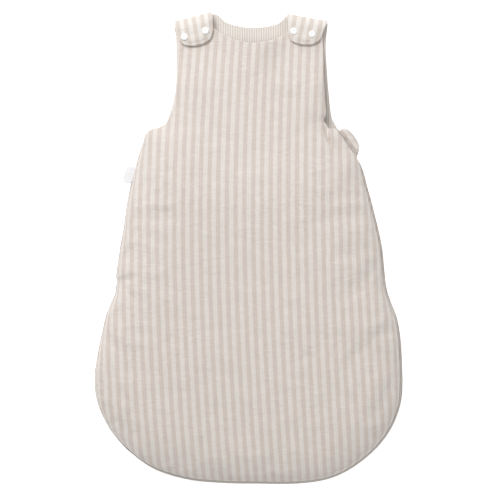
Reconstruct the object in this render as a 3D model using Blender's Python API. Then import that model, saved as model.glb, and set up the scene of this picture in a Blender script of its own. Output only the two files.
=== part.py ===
"""Sleeveless padded sleeping bag for a baby, lying flat on its back.

Frame: metres, +Z up, +Y towards the head end, +X towards the zipped side seam.
The origin is on the flat underside of the back panel, at the middle of the bag's plan.
Lengths below are in millimetres and are scaled to metres when a mesh is made.
"""

import math

import bpy
import numpy as np
from mathutils import Vector
from mathutils.geometry import delaunay_2d_cdt

for old in list(bpy.data.objects):
    bpy.data.objects.remove(old, do_unlink=True)

MM = 0.001

# ---------------------------------------------------------------- driving dimensions (mm)
SHELL_T = 1.2          # double-gauze outer cloth
LINING_T = 1.2         # fine striped inner cloth
LAYER_GAP = 0.3        # air between neighbouring layers
EDGE_T = 5.0           # a panel's thickness at its sewn edge
PANEL_T = 10.0         # a padded panel's thickness in the body
TAB_T = 6.5            # a padded panel's thickness at the shoulders
LOFT_BODY = 54.0       # top of the front panel over the body
LOFT_NECK = 30.0       # top of the front panel at the middle of the neckline
LOFT_TAB = 16.0        # top of the front shoulder tabs, pressed flat by the straps
ROLL_BODY = 55.0       # width of the rounded edge of the front panel
ROLL_TAB = 16.0
BACK_ROLL = 34.0       # width over which the back panel leaves the table
SEAM_Z = 15.5          # height of the closed left side seam
FOLD_Z = 7.5           # height of the crease where a strap turns over
STRAP_T = 5.4
STRAP_LOW = 20.2       # underside of a fastened strap
STRAP_RISE = 16.0      # distance in which the strap climbs from the crease
STRAP_CLOTH = 1.0
HINGE_GAP = 0.4
SNAP_HOLE_R = 1.6
PRONG_R = 1.15
SNAP_R = 5.4
SIDES = 12             # facets of the round snap pieces

# Shoulder creases, snaps in pairs along each crease
LEFT_CREASE = ((-111.0, 334.0), (-55.0, 348.4))
RIGHT_CREASE = ((57.0, 345.7), (118.0, 334.5))
LEFT_SNAPS = {"outer": (-94.3, 310.5), "inner": (-63.6, 319.4)}
RIGHT_SNAPS = {"inner": (66.8, 318.7), "outer": (94.0, 314.6)}

# The front opens along the zip and folds back over this line, from the
# zipped side below the armhole to the zip's end at the lower left hem.
FLAP_FROM = (174.0, 93.0)
FLAP_TO = (-185.0, -296.0)
FLAP_AXIS_Z = LOFT_BODY + 8.0
FLAP_SLIT = 0.25

# Zip: a straight run from its top, then it follows the hem
ZIP_TOP = (151.4, 147.0)
ZIP_DIR = (0.2368, -0.9716)
ZIP_STRAIGHT = 168.0
ZIP_INSET = 6.5
TAPE_T = 0.8
CHAIN_Z = 16.0
CHAIN_SLOT = 1.2       # gap between the two rows of teeth, where the slider's wedge runs
TOOTH = 1.8
SLIDER_REST = 5.0      # slider's upper end below the zip's top
SLIDER_L = 10.0

# ---------------------------------------------------------------- pattern pieces (mm)
ARMHOLE_LEFT = [(-111, 334), (-108, 310), (-106.5, 274), (-108, 239), (-112.5, 212), (-121, 187), (-137, 177), (-152, 168)]
SIDE_LEFT = [(-152, 168), (-161, 141), (-166, 123), (-177.5, 79), (-185, 35), (-191, -1), (-195.5, -36), (-197.5, -60),
             (-203, -81), (-210.5, -100), (-216.5, -125), (-222, -152), (-226.5, -178), (-228, -200)]
HEM = [(-228, -200), (-225, -224), (-216, -249), (-200, -276), (-175, -303), (-138, -329), (-89, -344), (-37, -349), (12, -350),
       (70, -350), (115, -344), (150, -329), (184, -303), (206.5, -276), (220, -249), (226.5, -223), (228, -196)]
SIDE_RIGHT = [(228, -196), (225.5, -143), (220, -107), (210.5, -81), (204, -61), (201, -36), (198, -4), (192, 26),
              (183.5, 61), (176, 88), (169, 115), (161, 132.5)]
BACK_UNDERARM = [(161, 132.5), (154, 150), (145, 164), (132, 177)]
ARMHOLE_RIGHT_BACK = [(132, 177), (127, 186), (123, 196), (120, 221), (117, 257), (115, 301), (118, 334.5)]
NECK_BACK = [(57, 345.7), (51, 338), (42.5, 332), (24, 327.7), (5, 326.6), (-14, 328.6), (-33, 334.5), (-46, 345.5), (-55, 348.4)]

FRONT_UNDERARM = [(160, 132), (151.5, 144.7), (145, 154), (137, 165), (130, 174.5)]
ARMHOLE_RIGHT_FRONT = [(130, 174.5), (119, 178), (114.5, 192), (113, 203), (110.5, 225), (109.5, 245), (109, 265), (108.5, 295), (107, 320.5)]
TAB_RIGHT = [(107, 320.5), (64, 328.5)]
NECK_FRONT = [(64, 328.5), (60.7, 321.5), (47, 312), (28.5, 305), (5, 301.6), (-14, 305), (-33, 312), (-50, 324), (-58, 331.5)]
TAB_LEFT = [(-58, 331.5), (-105, 319.5)]
ARMHOLE_LEFT_FRONT = [(-105, 319.5), (-105.5, 300), (-105, 274), (-107, 239), (-112, 212), (-121, 186.5), (-137, 176.5), (-152, 168)]

STRAP_LEFT = [(-55, 348.4), (-52.5, 338), (-52, 326), (-52.3, 318), (-55.6, 309), (-63, 302.7), (-71, 299.2), (-82, 297.4), (-92, 298),
              (-98.7, 301.6), (-102.5, 307.5), (-106, 318), (-111, 334)]
STRAP_RIGHT = [(118, 334.5), (114, 326.5), (110, 317), (104.5, 305.6), (96.5, 300.4), (88, 299), (78, 299.7), (68.5, 302.3), (61.6, 307),
               (59, 318), (58, 332), (57, 345.7)]


# ---------------------------------------------------------------- small tools
def smooth(a, b, v):
    t = np.clip((np.asarray(v, float) - a) / (b - a), 0.0, 1.0)
    return t * t * (3.0 - 2.0 * t)


def blend(a, b, t):
    return a + (b - a) * t


def rounded(t):
    """Quarter-ellipse rise from 0 at an edge to 1."""
    t = np.clip(t, 0.0, 1.0)
    return np.sqrt(np.maximum(0.0, 1.0 - (1.0 - t) ** 2))


def spline(points, step):
    """A curve through the pattern's points, with a point about every step, both ends kept."""
    p = np.array(points, float)
    if len(p) == 2:
        n = max(1, int(round(np.linalg.norm(p[1] - p[0]) / step)))
        return [p[0] + (p[1] - p[0]) * i / n for i in range(n + 1)]
    ext = np.vstack([2 * p[0] - p[1], p, 2 * p[-1] - p[-2]])
    fine = []
    for i in range(1, len(ext) - 2):
        a, b, c, d = ext[i - 1], ext[i], ext[i + 1], ext[i + 2]
        for k in range(12):
            t = k / 12.0
            fine.append(0.5 * (2 * b + (c - a) * t + (2 * a - 5 * b + 4 * c - d) * t * t + (3 * b - a - 3 * c + d) * t ** 3))
    fine.append(p[-1])
    fine = np.array(fine)
    run = np.concatenate([[0], np.cumsum(np.linalg.norm(np.diff(fine, axis=0), axis=1))])
    n = max(1, int(round(run[-1] / step)))
    at = np.linspace(0, run[-1], n + 1)
    return [np.array([np.interp(s, run, fine[:, 0]), np.interp(s, run, fine[:, 1])]) for s in at]


def outline(parts, step):
    """A closed outline from several curves that share their end points."""
    loop = []
    for part in parts:
        loop.extend(spline(part, step)[:-1])
    return np.array(loop)


def inset_toward(points, amount, inward=1.0):
    """An open run of points moved sideways, to its left when inward is positive."""
    p = np.array(points, float)
    d = np.gradient(p, axis=0)
    d /= np.linalg.norm(d, axis=1)[:, None]
    return p + inward * np.stack([-d[:, 1], d[:, 0]], 1) * amount


def distance(loop, pts, closed=True):
    """Distance of each point from the line of the loop."""
    a = np.array(loop, float)
    b = np.roll(a, -1, axis=0) if closed else a[1:]
    a = a if closed else a[:-1]
    pts = np.asarray(pts, float)
    ab = b - a
    length = np.maximum((ab ** 2).sum(1), 1e-12)
    best = np.full(len(pts), 1e18)
    for i in range(len(a)):
        t = np.clip(((pts - a[i]) @ ab[i]) / length[i], 0, 1)
        near = a[i] + t[:, None] * ab[i]
        best = np.minimum(best, ((pts - near) ** 2).sum(1))
    return np.sqrt(best)


def inside(loop, pts):
    x, y = np.asarray(pts, float).T
    a = np.array(loop, float)
    b = np.roll(a, -1, axis=0)
    odd = np.zeros(len(x), bool)
    for (x0, y0), (x1, y1) in zip(a, b):
        if y0 == y1:
            continue
        cross = ((y0 > y) != (y1 > y)) & (x < (x1 - x0) * (y - y0) / (y1 - y0) + x0)
        odd ^= cross
    return odd


def thinned(loop, least):
    out = [loop[0]]
    for q in loop[1:]:
        if np.linalg.norm(q - out[-1]) >= least:
            out.append(q)
    while len(out) > 3 and np.linalg.norm(out[-1] - out[0]) < least:
        out.pop()
    return np.array(out)


def cut_by_line(loop, origin, normal, offset, step):
    """The part of a loop where (p - origin) . normal > offset, its cut edge divided."""
    o, n = np.array(origin, float), np.array(normal, float)
    side = (loop - o) @ n - offset
    out = []
    for i in range(len(loop)):
        j = (i + 1) % len(loop)
        p, q, a, b = loop[i], loop[j], side[i], side[j]
        if a > 0:
            out.append(("p", p))
        if (a > 0) != (b > 0):
            out.append(("c", p + (q - p) * a / (a - b)))
    done = []
    for i in range(len(out)):
        done.append(out[i][1])
        kind, nxt = out[i][0], out[(i + 1) % len(out)]
        if kind == "c" and nxt[0] == "c":
            n_div = max(1, int(round(np.linalg.norm(nxt[1] - out[i][1]) / step)))
            for k in range(1, n_div):
                done.append(out[i][1] + (nxt[1] - out[i][1]) * k / n_div)
    return thinned(np.array(done), 2.5)


def triangulate(loop, spacing, rings, holes=()):
    """Plan triangles of a panel: its edge, rings of points inside it, and an even field."""
    loops = [np.array(loop, float)] + [np.array(h, float) for h in holes]
    pts = list(loops[0])
    field = []
    area = 0.5 * np.sum(loops[0][:, 0] * np.roll(loops[0][:, 1], -1) - np.roll(loops[0][:, 0], -1) * loops[0][:, 1])
    turn = 1.0 if area > 0 else -1.0
    for depth, step in rings:
        run = loops[0]
        nxt, prv = np.roll(run, -1, axis=0), np.roll(run, 1, axis=0)
        d = nxt - prv
        d /= np.maximum(np.linalg.norm(d, axis=1), 1e-9)[:, None]
        moved = run + turn * np.stack([-d[:, 1], d[:, 0]], 1) * depth
        ok = inside(run, moved)
        ok &= distance(run, moved) > 0.93 * depth
        kept = []
        for q, good in zip(moved, ok):
            if good and all(np.linalg.norm(q - r) > 0.8 * step for r in kept[-3:]) and (not kept or np.linalg.norm(q - kept[0]) > 0.8 * step):
                kept.append(q)
        field.extend(kept)
    lo, hi = loops[0].min(0), loops[0].max(0)
    grid, row, y = [], 0, lo[1] + spacing * 0.5
    while y < hi[1]:
        x = lo[0] + (0.5 if row % 2 else 0.0) * spacing
        while x < hi[0]:
            grid.append((x, y))
            x += spacing
        y += spacing * 0.866
        row += 1
    grid = np.array(grid)
    deepest = max([r[0] for r in rings] + [0.0])
    grid = grid[inside(loops[0], grid)]
    if len(grid):
        grid = grid[distance(loops[0], grid) > max(deepest + 0.45 * spacing, 0.5 * spacing)]
    for q in grid:
        if all(np.linalg.norm(q - r) > 0.55 * spacing for r in field):
            field.append(q)
    if holes:
        near = [min(np.linalg.norm(q - h.mean(0)) for h in loops[1:]) for q in field]
        field = [q for q, far in zip(field, near) if far > 12.0]
        for h in loops[1:]:
            c = h.mean(0)
            round_it = np.array([c + 7.5 * np.array([math.cos(math.pi * k / 4), math.sin(math.pi * k / 4)]) for k in range(8)])
            ok = inside(loops[0], round_it) & (distance(loops[0], round_it) > 2.0)
            field.extend(q for q, good in zip(round_it, ok) if good)
    edges, start = [], 0
    for k, lp in enumerate(loops):
        if k:
            start = len(pts)
            pts.extend(lp)
        edges.extend((start + i, start + (i + 1) % len(lp)) for i in range(len(lp)))
    pts.extend(field)
    out = delaunay_2d_cdt([Vector((float(p[0]), float(p[1]))) for p in pts], edges, [], 0, 1e-5)
    verts = np.array([(v.x, v.y) for v in out[0]])
    tris = []
    mid = np.array([verts[list(f)].mean(0) for f in out[2]])
    keep = inside(loops[0], mid)
    for h in loops[1:]:
        keep &= ~inside(h, mid)
    for f, good in zip(out[2], keep):
        if good:
            a, b, c = (verts[i] for i in f)
            if (b[0] - a[0]) * (c[1] - a[1]) - (b[1] - a[1]) * (c[0] - a[0]) > 0:
                tris.append(tuple(f))
            else:
                tris.append((f[0], f[2], f[1]))
    used = sorted({i for t in tris for i in t})
    index = {old: new for new, old in enumerate(used)}
    return verts[used], [tuple(index[i] for i in t) for t in tris]


# ---------------------------------------------------------------- objects and materials
MATERIALS = {}


def material(name, color, roughness, metallic=0.0):
    if name not in MATERIALS:
        m = bpy.data.materials.new(name)
        m.use_nodes = True
        b = m.node_tree.nodes["Principled BSDF"]
        b.inputs["Base Color"].default_value = (*color, 1.0)
        b.inputs["Roughness"].default_value = roughness
        b.inputs["Metallic"].default_value = metallic
        MATERIALS[name] = m
    return MATERIALS[name]


CLOTH = ("striped_gauze", (0.72, 0.66, 0.61), 0.9)
LINING = ("rib_lining", (0.80, 0.75, 0.70), 0.9)
WADDING = ("wadding", (0.86, 0.86, 0.84), 0.95)
TAPE = ("zip_tape", (0.78, 0.77, 0.75), 0.85)
TEETH = ("zip_teeth", (0.80, 0.78, 0.75), 0.45)
METAL = ("zip_metal", (0.75, 0.75, 0.76), 0.3, 1.0)
SNAP = ("snap_plastic", (0.90, 0.90, 0.89), 0.25)
LABEL = ("label_tape", (0.90, 0.90, 0.90), 0.8)


def make(name, verts_mm, faces, mat, origin_mm=(0, 0, 0), parent=None, smooth_angle=None):
    """An object whose origin is origin_mm and whose vertices are given in the bag's frame."""
    mesh = bpy.data.meshes.new(name)
    o = np.array(origin_mm, float)
    mesh.from_pydata([tuple((np.array(v, float) - o) * MM) for v in verts_mm], [], [tuple(int(i) for i in f) for f in faces])
    mesh.validate()
    mesh.update()
    if smooth_angle is not None:
        mesh.shade_smooth()
        mesh.set_sharp_from_angle(angle=math.radians(smooth_angle))
    mesh.materials.append(material(*mat))
    obj = bpy.data.objects.new(name, mesh)
    bpy.context.scene.collection.objects.link(obj)
    if parent is None:
        obj.location = Vector(o * MM)
    else:
        obj.parent = parent
        obj.location = Vector(o * MM) - parent.location
    return obj


def pivot(name, at_mm):
    """An empty on a joint's axis, for the pieces that turn or slide together."""
    e = bpy.data.objects.new(name, None)
    e.empty_display_size = 0.01
    e.location = Vector(np.array(at_mm, float) * MM)
    bpy.context.scene.collection.objects.link(e)
    return e


def slab(name, plan, low, high, mat, **more):
    """A closed panel layer over plan triangles, between two heights given at each point."""
    verts, tris = plan
    n = len(verts)
    v3 = [(x, y, z) for (x, y), z in zip(verts, high)] + [(x, y, z) for (x, y), z in zip(verts, low)]
    faces = [t for t in tris] + [(a + n, c + n, b + n) for a, b, c in tris]
    count = {}
    for a, b, c in tris:
        for e in ((a, b), (b, c), (c, a)):
            count[e] = count.get(e, 0) + 1
    for a, b in count:
        if (b, a) not in count:
            faces.append((a, a + n, b + n, b))
    return make(name, v3, faces, mat, **more)


def lathe(name, centre, profile, mat, parent=None, sides=SIDES):
    """A turned ring or disc about a vertical line; profile runs (radius, z), anticlockwise with r to the right."""
    cx, cy = centre
    verts, rows = [], []
    for r, z in profile:
        if r < 1e-6:
            rows.append([len(verts)] * sides)
            verts.append((cx, cy, z))
        else:
            rows.append(list(range(len(verts), len(verts) + sides)))
            verts.extend((cx + r * math.cos(2 * math.pi * k / sides), cy + r * math.sin(2 * math.pi * k / sides), z) for k in range(sides))
    faces = []
    for i in range(len(rows)):
        a, b = rows[i], rows[(i + 1) % len(rows)]
        if a[0] == a[1] and b[0] == b[1]:
            continue
        for k in range(sides):
            j = (k + 1) % sides
            f = [a[k], a[j], b[j], b[k]]
            g = []
            for q in f:
                if q not in g:
                    g.append(q)
            faces.append(tuple(g))
    return make(name, verts, faces, mat, origin_mm=(cx, cy, profile[0][1]), parent=parent, smooth_angle=35)


def sweep(name, path, section, mat, **more):
    """A bar along a plan path. section lists (outward, z) points; outward is to the path's left."""
    p = np.array(path, float)
    d = np.gradient(p, axis=0)
    d /= np.linalg.norm(d, axis=1)[:, None]
    out = np.stack([-d[:, 1], d[:, 0]], 1)
    m, verts, faces = len(section), [], []
    for q, o in zip(p, out):
        verts.extend((q[0] + o[0] * s, q[1] + o[1] * s, z) for s, z in section)
    for i in range(len(p) - 1):
        for k in range(m):
            j = (k + 1) % m
            faces.append((i * m + k, i * m + j, (i + 1) * m + j, (i + 1) * m + k))
    last = (len(p) - 1) * m
    faces.append(tuple(range(m))[::-1])
    faces.append(tuple(last + k for k in range(m)))
    area = sum(section[k][0] * section[(k + 1) % m][1] - section[(k + 1) % m][0] * section[k][1] for k in range(m))
    if area < 0:
        faces = [f[::-1] for f in faces]
    return make(name, verts, faces, mat, **more)


# ---------------------------------------------------------------- the bag's shape
STEP = 27.0
BACK_LOOP = outline([ARMHOLE_LEFT, SIDE_LEFT, HEM, SIDE_RIGHT, BACK_UNDERARM, ARMHOLE_RIGHT_BACK,
                     [ARMHOLE_RIGHT_BACK[-1], NECK_BACK[0]], NECK_BACK, [NECK_BACK[-1], ARMHOLE_LEFT[0]]], STEP)

# The front panel stops short of the back panel along the zip, so the back edge shows past it.
_hem = inset_toward(spline(HEM, 12.0), 3.5)
_right = inset_toward(spline(SIDE_RIGHT, 12.0), 3.0)
_fade = smooth(-205, -120, _hem[:, 0])[:, None]
_hem = np.array(spline(HEM, 12.0)) * (1 - _fade) + _hem * _fade
_top = smooth(140, 100, _right[:, 1])[:, None]
_right = np.array(spline(SIDE_RIGHT, 12.0)) * (1 - _top) + _right * _top
_join = [_right[-1], np.array(FRONT_UNDERARM[1])]
FRONT_LOOP = outline([ARMHOLE_LEFT_FRONT, SIDE_LEFT, _hem, np.vstack([_hem[-1:], _right[1:]]), _join, FRONT_UNDERARM[1:],
                      ARMHOLE_RIGHT_FRONT, TAB_RIGHT, NECK_FRONT, TAB_LEFT], STEP)


def zip_share(p):
    """1 along the zip, 0 along the closed seam, faded over a short way at its two ends."""
    ang = np.degrees(np.arctan2(p[:, 1] + 60.0, p[:, 0]))
    return smooth(-137, -126, ang) * (1.0 - smooth(66, 74, ang))


def pressed(p):
    """1 on the shoulder tabs, which the fastened straps hold down."""
    return smooth(28, 52, np.abs(p[:, 0])) * smooth(250, 296, p[:, 1])


def front_heights(p):
    d, y = distance(FRONT_LOOP, p), p[:, 1]
    loft = blend(LOFT_BODY, LOFT_NECK, smooth(60, 290, y)) - (LOFT_NECK - LOFT_TAB) * pressed(p)
    side = blend(SEAM_Z + 0.5 + EDGE_T, CHAIN_Z + 12.5, zip_share(p))
    open_edge = 26.0 - (26.0 - LOFT_TAB + 0.5) * pressed(p)
    edge = blend(side, open_edge, smooth(150, 195, y))
    roll = blend(ROLL_BODY, ROLL_TAB, smooth(120, 300, y))
    top = edge + (loft - edge) * rounded(d / roll)
    thick = EDGE_T + (blend(PANEL_T, TAB_T, smooth(150, 300, y)) - EDGE_T) * smooth(0, 22, d)
    return top - thick, top


def back_heights(p):
    d, y = distance(BACK_LOOP, p), p[:, 1]
    edge = blend(blend(SEAM_Z - 0.5 - EDGE_T, 3.5, zip_share(p)), 1.5, smooth(150, 195, y))
    roll = blend(BACK_ROLL, 12.0, smooth(150, 260, y))
    low = edge * (1.0 - rounded(d / roll))
    thick = EDGE_T + (blend(PANEL_T, TAB_T, smooth(150, 300, y)) - EDGE_T) * smooth(0, 22, d)
    return low, np.minimum(low + thick, np.where(y > 290, TAB_T, 99.0))


def padded_panel(prefix, names, plan, low, high, cloth_t, lining_t, outer_up, **more):
    """Outer cloth, wadding and lining of one panel."""
    shell_name, wadding_name, lining_name = names
    if outer_up:
        slab(shell_name, plan, high - cloth_t, high, CLOTH, **more)
        slab(wadding_name, plan, low + lining_t + LAYER_GAP, high - cloth_t - LAYER_GAP, WADDING, **more)
        slab(lining_name, plan, low, low + lining_t, LINING, **more)
    else:
        slab(shell_name, plan, low, low + cloth_t, CLOTH, **more)
        slab(wadding_name, plan, low + cloth_t + LAYER_GAP, high - lining_t - LAYER_GAP, WADDING, **more)
        slab(lining_name, plan, high - lining_t, high, LINING, **more)


def circle(centre, r, sides=8):
    return np.array([(centre[0] + r * math.cos(2 * math.pi * k / sides), centre[1] + r * math.sin(2 * math.pi * k / sides)) for k in range(sides)])


# Back panel: its shoulders end at the strap creases
back_loop = BACK_LOOP.copy()
for (a, b) in (LEFT_CREASE, RIGHT_CREASE):
    a, b = np.array(a), np.array(b)
    along = (b - a) / np.linalg.norm(b - a)
    away = np.array([-along[1], along[0]])
    over = (back_loop - a) @ away
    near = ((back_loop - a) @ along > -4) & ((back_loop - a) @ along < np.linalg.norm(b - a) + 4) & (over > -HINGE_GAP)
    back_loop[near] -= np.outer(over[near] + HINGE_GAP, away)
plan = triangulate(back_loop, 58.0, [(9.0, 26.0), (24.0, 34.0)])
low, high = back_heights(plan[0])
padded_panel("back", ("back_shell", "back_wadding", "back_lining"), plan, low, high, SHELL_T, LINING_T, False)

# Front panel, in two: the chest and left side stay, the lower right folds open along the zip
fold_dir = np.array(FLAP_TO) - np.array(FLAP_FROM)
fold_dir = fold_dir / np.linalg.norm(fold_dir)
fold_side = np.array([-fold_dir[1], fold_dir[0]])
if fold_side[0] < 0:
    fold_side = -fold_side
snap_holes = [circle(c, SNAP_HOLE_R) for c in list(LEFT_SNAPS.values()) + list(RIGHT_SNAPS.values())]
upper = cut_by_line(FRONT_LOOP, FLAP_FROM, -fold_side, FLAP_SLIT, 30.0)
lower = cut_by_line(FRONT_LOOP, FLAP_FROM, fold_side, FLAP_SLIT, 30.0)

plan = triangulate(upper, 56.0, [(9.0, 26.0), (24.0, 34.0)], snap_holes)
low, high = front_heights(plan[0])
padded_panel("front", ("front_shell", "front_wadding", "front_lining"), plan, low, high, SHELL_T, LINING_T, True)

flap_mid = 0.5 * (np.array(FLAP_FROM) + np.array(FLAP_TO))
flap_pivot = pivot("flap_pivot", (flap_mid[0], flap_mid[1], FLAP_AXIS_Z))
plan = triangulate(lower, 56.0, [(9.0, 26.0), (24.0, 34.0)])
low, high = front_heights(plan[0])
padded_panel("flap", ("flap_shell", "flap_wadding", "flap_lining"), plan, low, high, SHELL_T, LINING_T, True,
             origin_mm=(flap_mid[0], flap_mid[1], FLAP_AXIS_Z), parent=flap_pivot)


# ---------------------------------------------------------------- shoulder straps and snaps
def snap_cap(name, c, parent):
    z = STRAP_LOW + STRAP_T + 0.3
    lathe(name, c, [(0, z + 1.9), (2.2, z + 1.9), (3.0, z + 2.3), (SNAP_R - 0.9, z + 1.9), (SNAP_R, z + 0.8), (SNAP_R, z),
                    (PRONG_R, z), (PRONG_R, STRAP_LOW - 1.2), (0, STRAP_LOW - 1.5)][::-1], SNAP, parent)


def snap_socket(name, c, parent):
    z = STRAP_LOW - 0.3
    lathe(name, c, [(PRONG_R + 0.35, z), (SNAP_R - 0.6, z), (SNAP_R - 0.4, z - 0.6), (3.4, z - 1.0), (3.4, z - 2.3), (2.5, z - 2.3),
                    (2.5, z - 0.6), (PRONG_R + 0.35, z - 0.6)][::-1], SNAP, parent)


def snap_stud(name, c):
    z = LOFT_TAB + 0.3
    lathe(name, c, [(PRONG_R + 0.3, z), (SNAP_R - 0.6, z), (SNAP_R - 0.6, z + 0.7), (2.1, z + 1.0), (2.1, z + 1.9), (1.8, z + 2.1),
                    (PRONG_R + 0.3, z + 2.1)], SNAP)


def snap_stud_back(name, c):
    z = LOFT_TAB - TAB_T - 0.3
    lathe(name, c, [(0, z - 1.3), (SNAP_R - 1.0, z - 1.3), (SNAP_R, z - 0.7), (SNAP_R, z), (PRONG_R, z), (PRONG_R, LOFT_TAB + 1.6), (0, LOFT_TAB + 1.7)], SNAP)


def strap(side, loop_points, crease, snaps):
    a, b = np.array(crease[0]), np.array(crease[1])
    along = (b - a) / np.linalg.norm(b - a)
    away = np.array([-along[1], along[0]])
    mid = 0.5 * (a + b)
    turn = pivot(f"{side}_strap_pivot", (mid[0], mid[1], FOLD_Z))
    loop = outline([loop_points, [loop_points[-1], loop_points[0]]], 9.0)
    p, t = triangulate(loop, 13.0, [], [circle(c, SNAP_HOLE_R) for c in snaps.values()])
    inward = np.maximum(0.0, -((p - a) @ away))
    low = FOLD_Z + 0.3 + (STRAP_LOW - FOLD_Z - 0.3) * np.sin(0.5 * math.pi * np.clip(inward / STRAP_RISE, 0, 1))
    high = low + STRAP_T
    padded_panel(side, (f"{side}_strap_shell", f"{side}_strap_wadding", f"{side}_strap_lining"), (p, t), low, high,
                 STRAP_CLOTH, STRAP_CLOTH, True, origin_mm=(mid[0], mid[1], FOLD_Z), parent=turn)
    for where, c in snaps.items():
        snap_cap(f"{side}_{where}_snap_cap", c, turn)
        snap_socket(f"{side}_{where}_snap_socket", c, turn)
        snap_stud(f"{side}_{where}_snap_stud", c)
        snap_stud_back(f"{side}_{where}_snap_stud_back", c)


strap("left", STRAP_LEFT, LEFT_CREASE, LEFT_SNAPS)
strap("right", STRAP_RIGHT, RIGHT_CREASE, RIGHT_SNAPS)

# ---------------------------------------------------------------- zip along the right side and the hem
zd = np.array(ZIP_DIR) / np.linalg.norm(ZIP_DIR)
zo = np.array([-zd[1], zd[0]])          # away from the bag
ztop = np.array(ZIP_TOP)


def zip_path(step_straight, step_curve):
    """Points from the zip's top to its end; outward is to the left of travel."""
    straight = [ztop + zd * s for s in np.linspace(0, ZIP_STRAIGHT, max(2, int(ZIP_STRAIGHT / step_straight) + 1))]
    hem = list(spline(SIDE_RIGHT, 8.0)[::-1]) + list(spline(HEM, 8.0)[::-1])[1:]
    hem = inset_toward(hem, ZIP_INSET, -1.0)
    rest = [q for q in hem if q[1] < -48.0 and not (q[0] < -172.0)]
    pts = [straight[0]] + straight[1:] + rest
    fine = spline(pts, 2.0)
    run = [fine[0]]
    last = fine[0]
    for q in fine[1:]:
        s = np.dot(q - ztop, zd)
        on_straight = s < ZIP_STRAIGHT - 4 and abs(np.dot(q - ztop, zo)) < 0.3
        if np.linalg.norm(q - last) >= (step_straight if on_straight else step_curve):
            run.append(ztop + zd * s if on_straight else q)
            last = q
    run.append(fine[-1])
    return run


path = zip_path(40.0, 26.0)
run_len = np.concatenate([[0], np.cumsum([np.linalg.norm(path[i + 1] - path[i]) for i in range(len(path) - 1)])])


def part_of(start, end):
    """The stretch of the zip's path between two lengths along it."""
    def at(s):
        return np.array([np.interp(s, run_len, [q[0] for q in path]), np.interp(s, run_len, [q[1] for q in path])])
    return [at(start)] + [q for q, s in zip(path, run_len) if start + 1.5 < s < end - 1.5] + [at(end)]


ZIP_LEN = float(run_len[-1])
fine_s = np.linspace(0, ZIP_LEN, 1200)
fine_p = np.array([[np.interp(s, run_len, [q[0] for q in path]), np.interp(s, run_len, [q[1] for q in path])] for s in fine_s])
ZIP_SPLIT = float(fine_s[np.argmax((fine_p - np.array(FLAP_FROM)) @ fold_side > 0)])

half = TAPE_T / 2
slot = CHAIN_SLOT / 2
tape_back = [(-half, CHAIN_Z - slot), (-half, 10.4), (5.3, 8.95), (5.5, 9.7), (half, 10.9), (half, CHAIN_Z - slot)]
tape_front = [(-half, CHAIN_Z + slot), (half, CHAIN_Z + slot), (half, 21.3), (4.6, 22.3), (4.5, 23.0), (-half, 21.8)]
tooth_in, tooth_out = half + 0.3, half + 0.3 + TOOTH
teeth_back = [(tooth_in, CHAIN_Z - slot - TOOTH), (tooth_out, CHAIN_Z - slot - TOOTH), (tooth_out, CHAIN_Z - slot), (tooth_in, CHAIN_Z - slot)]
teeth_front = [(tooth_in, CHAIN_Z + slot), (tooth_out, CHAIN_Z + slot), (tooth_out, CHAIN_Z + slot + TOOTH), (tooth_in, CHAIN_Z + slot + TOOTH)]
stop_back = [(tooth_in, CHAIN_Z - slot - 2.4), (tooth_out + 0.4, CHAIN_Z - slot - 2.4), (tooth_out + 0.4, CHAIN_Z - slot), (tooth_in, CHAIN_Z - slot)]
stop_front = [(tooth_in, CHAIN_Z + slot), (tooth_out + 0.4, CHAIN_Z + slot), (tooth_out + 0.4, CHAIN_Z + slot + 2.4), (tooth_in, CHAIN_Z + slot + 2.4)]
stop_box = [(tooth_in, CHAIN_Z - 2.8), (tooth_out + 0.4, CHAIN_Z - 2.8), (tooth_out + 0.4, CHAIN_Z + 2.8), (tooth_in, CHAIN_Z + 2.8)]

flap_origin = dict(origin_mm=(flap_mid[0], flap_mid[1], FLAP_AXIS_Z), parent=flap_pivot)
sweep("zip_tape_back", part_of(0.0, ZIP_LEN), tape_back, TAPE)
sweep("zip_tape_front_top", part_of(0.0, ZIP_SPLIT - 0.5), tape_front, TAPE)
sweep("zip_tape_front", part_of(ZIP_SPLIT + 0.5, ZIP_LEN - 6.5), tape_front, TAPE, **flap_origin)
sweep("zip_teeth_back", part_of(3.0, ZIP_LEN - 6.5), teeth_back, TEETH)
sweep("zip_teeth_front_top", part_of(3.0, ZIP_SPLIT - 0.5), teeth_front, TEETH)
sweep("zip_teeth_front", part_of(ZIP_SPLIT + 0.5, ZIP_LEN - 6.5), teeth_front, TEETH, **flap_origin)
sweep("zip_top_stop_back", part_of(0.2, 2.6), stop_back, METAL)
sweep("zip_top_stop_front", part_of(0.2, 2.6), stop_front, METAL)
sweep("zip_bottom_stop", part_of(ZIP_LEN - 6.0, ZIP_LEN - 1.0), stop_box, METAL)


def on_zip(s, o, z):
    q = ztop + zd * s + zo * o
    return (q[0], q[1], z)


def box_on_zip(s0, s1, o0, o1, z0, z1):
    v = [on_zip(s, o, z) for s in (s0, s1) for o in (o0, o1) for z in (z0, z1)]
    f = [(0, 1, 3, 2), (4, 6, 7, 5), (0, 4, 5, 1), (2, 3, 7, 6), (0, 2, 6, 4), (1, 5, 7, 3)]
    return v, f


def union(name, boxes, mat, origin, parent):
    """One solid from overlapping blocks."""
    base = None
    for i, b in enumerate(boxes):
        v, f = box_on_zip(*b)
        o = make(name if i == 0 else f"{name}_block_{i}", v, f, mat, origin_mm=origin, parent=parent)
        if i == 0:
            base = o
        else:
            o.hide_render = True
            o.display_type = "WIRE"
            m = base.modifiers.new(f"join_{i}", "BOOLEAN")
            m.operation = "UNION"
            m.solver = "EXACT"
            m.object = o
    return base


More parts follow.
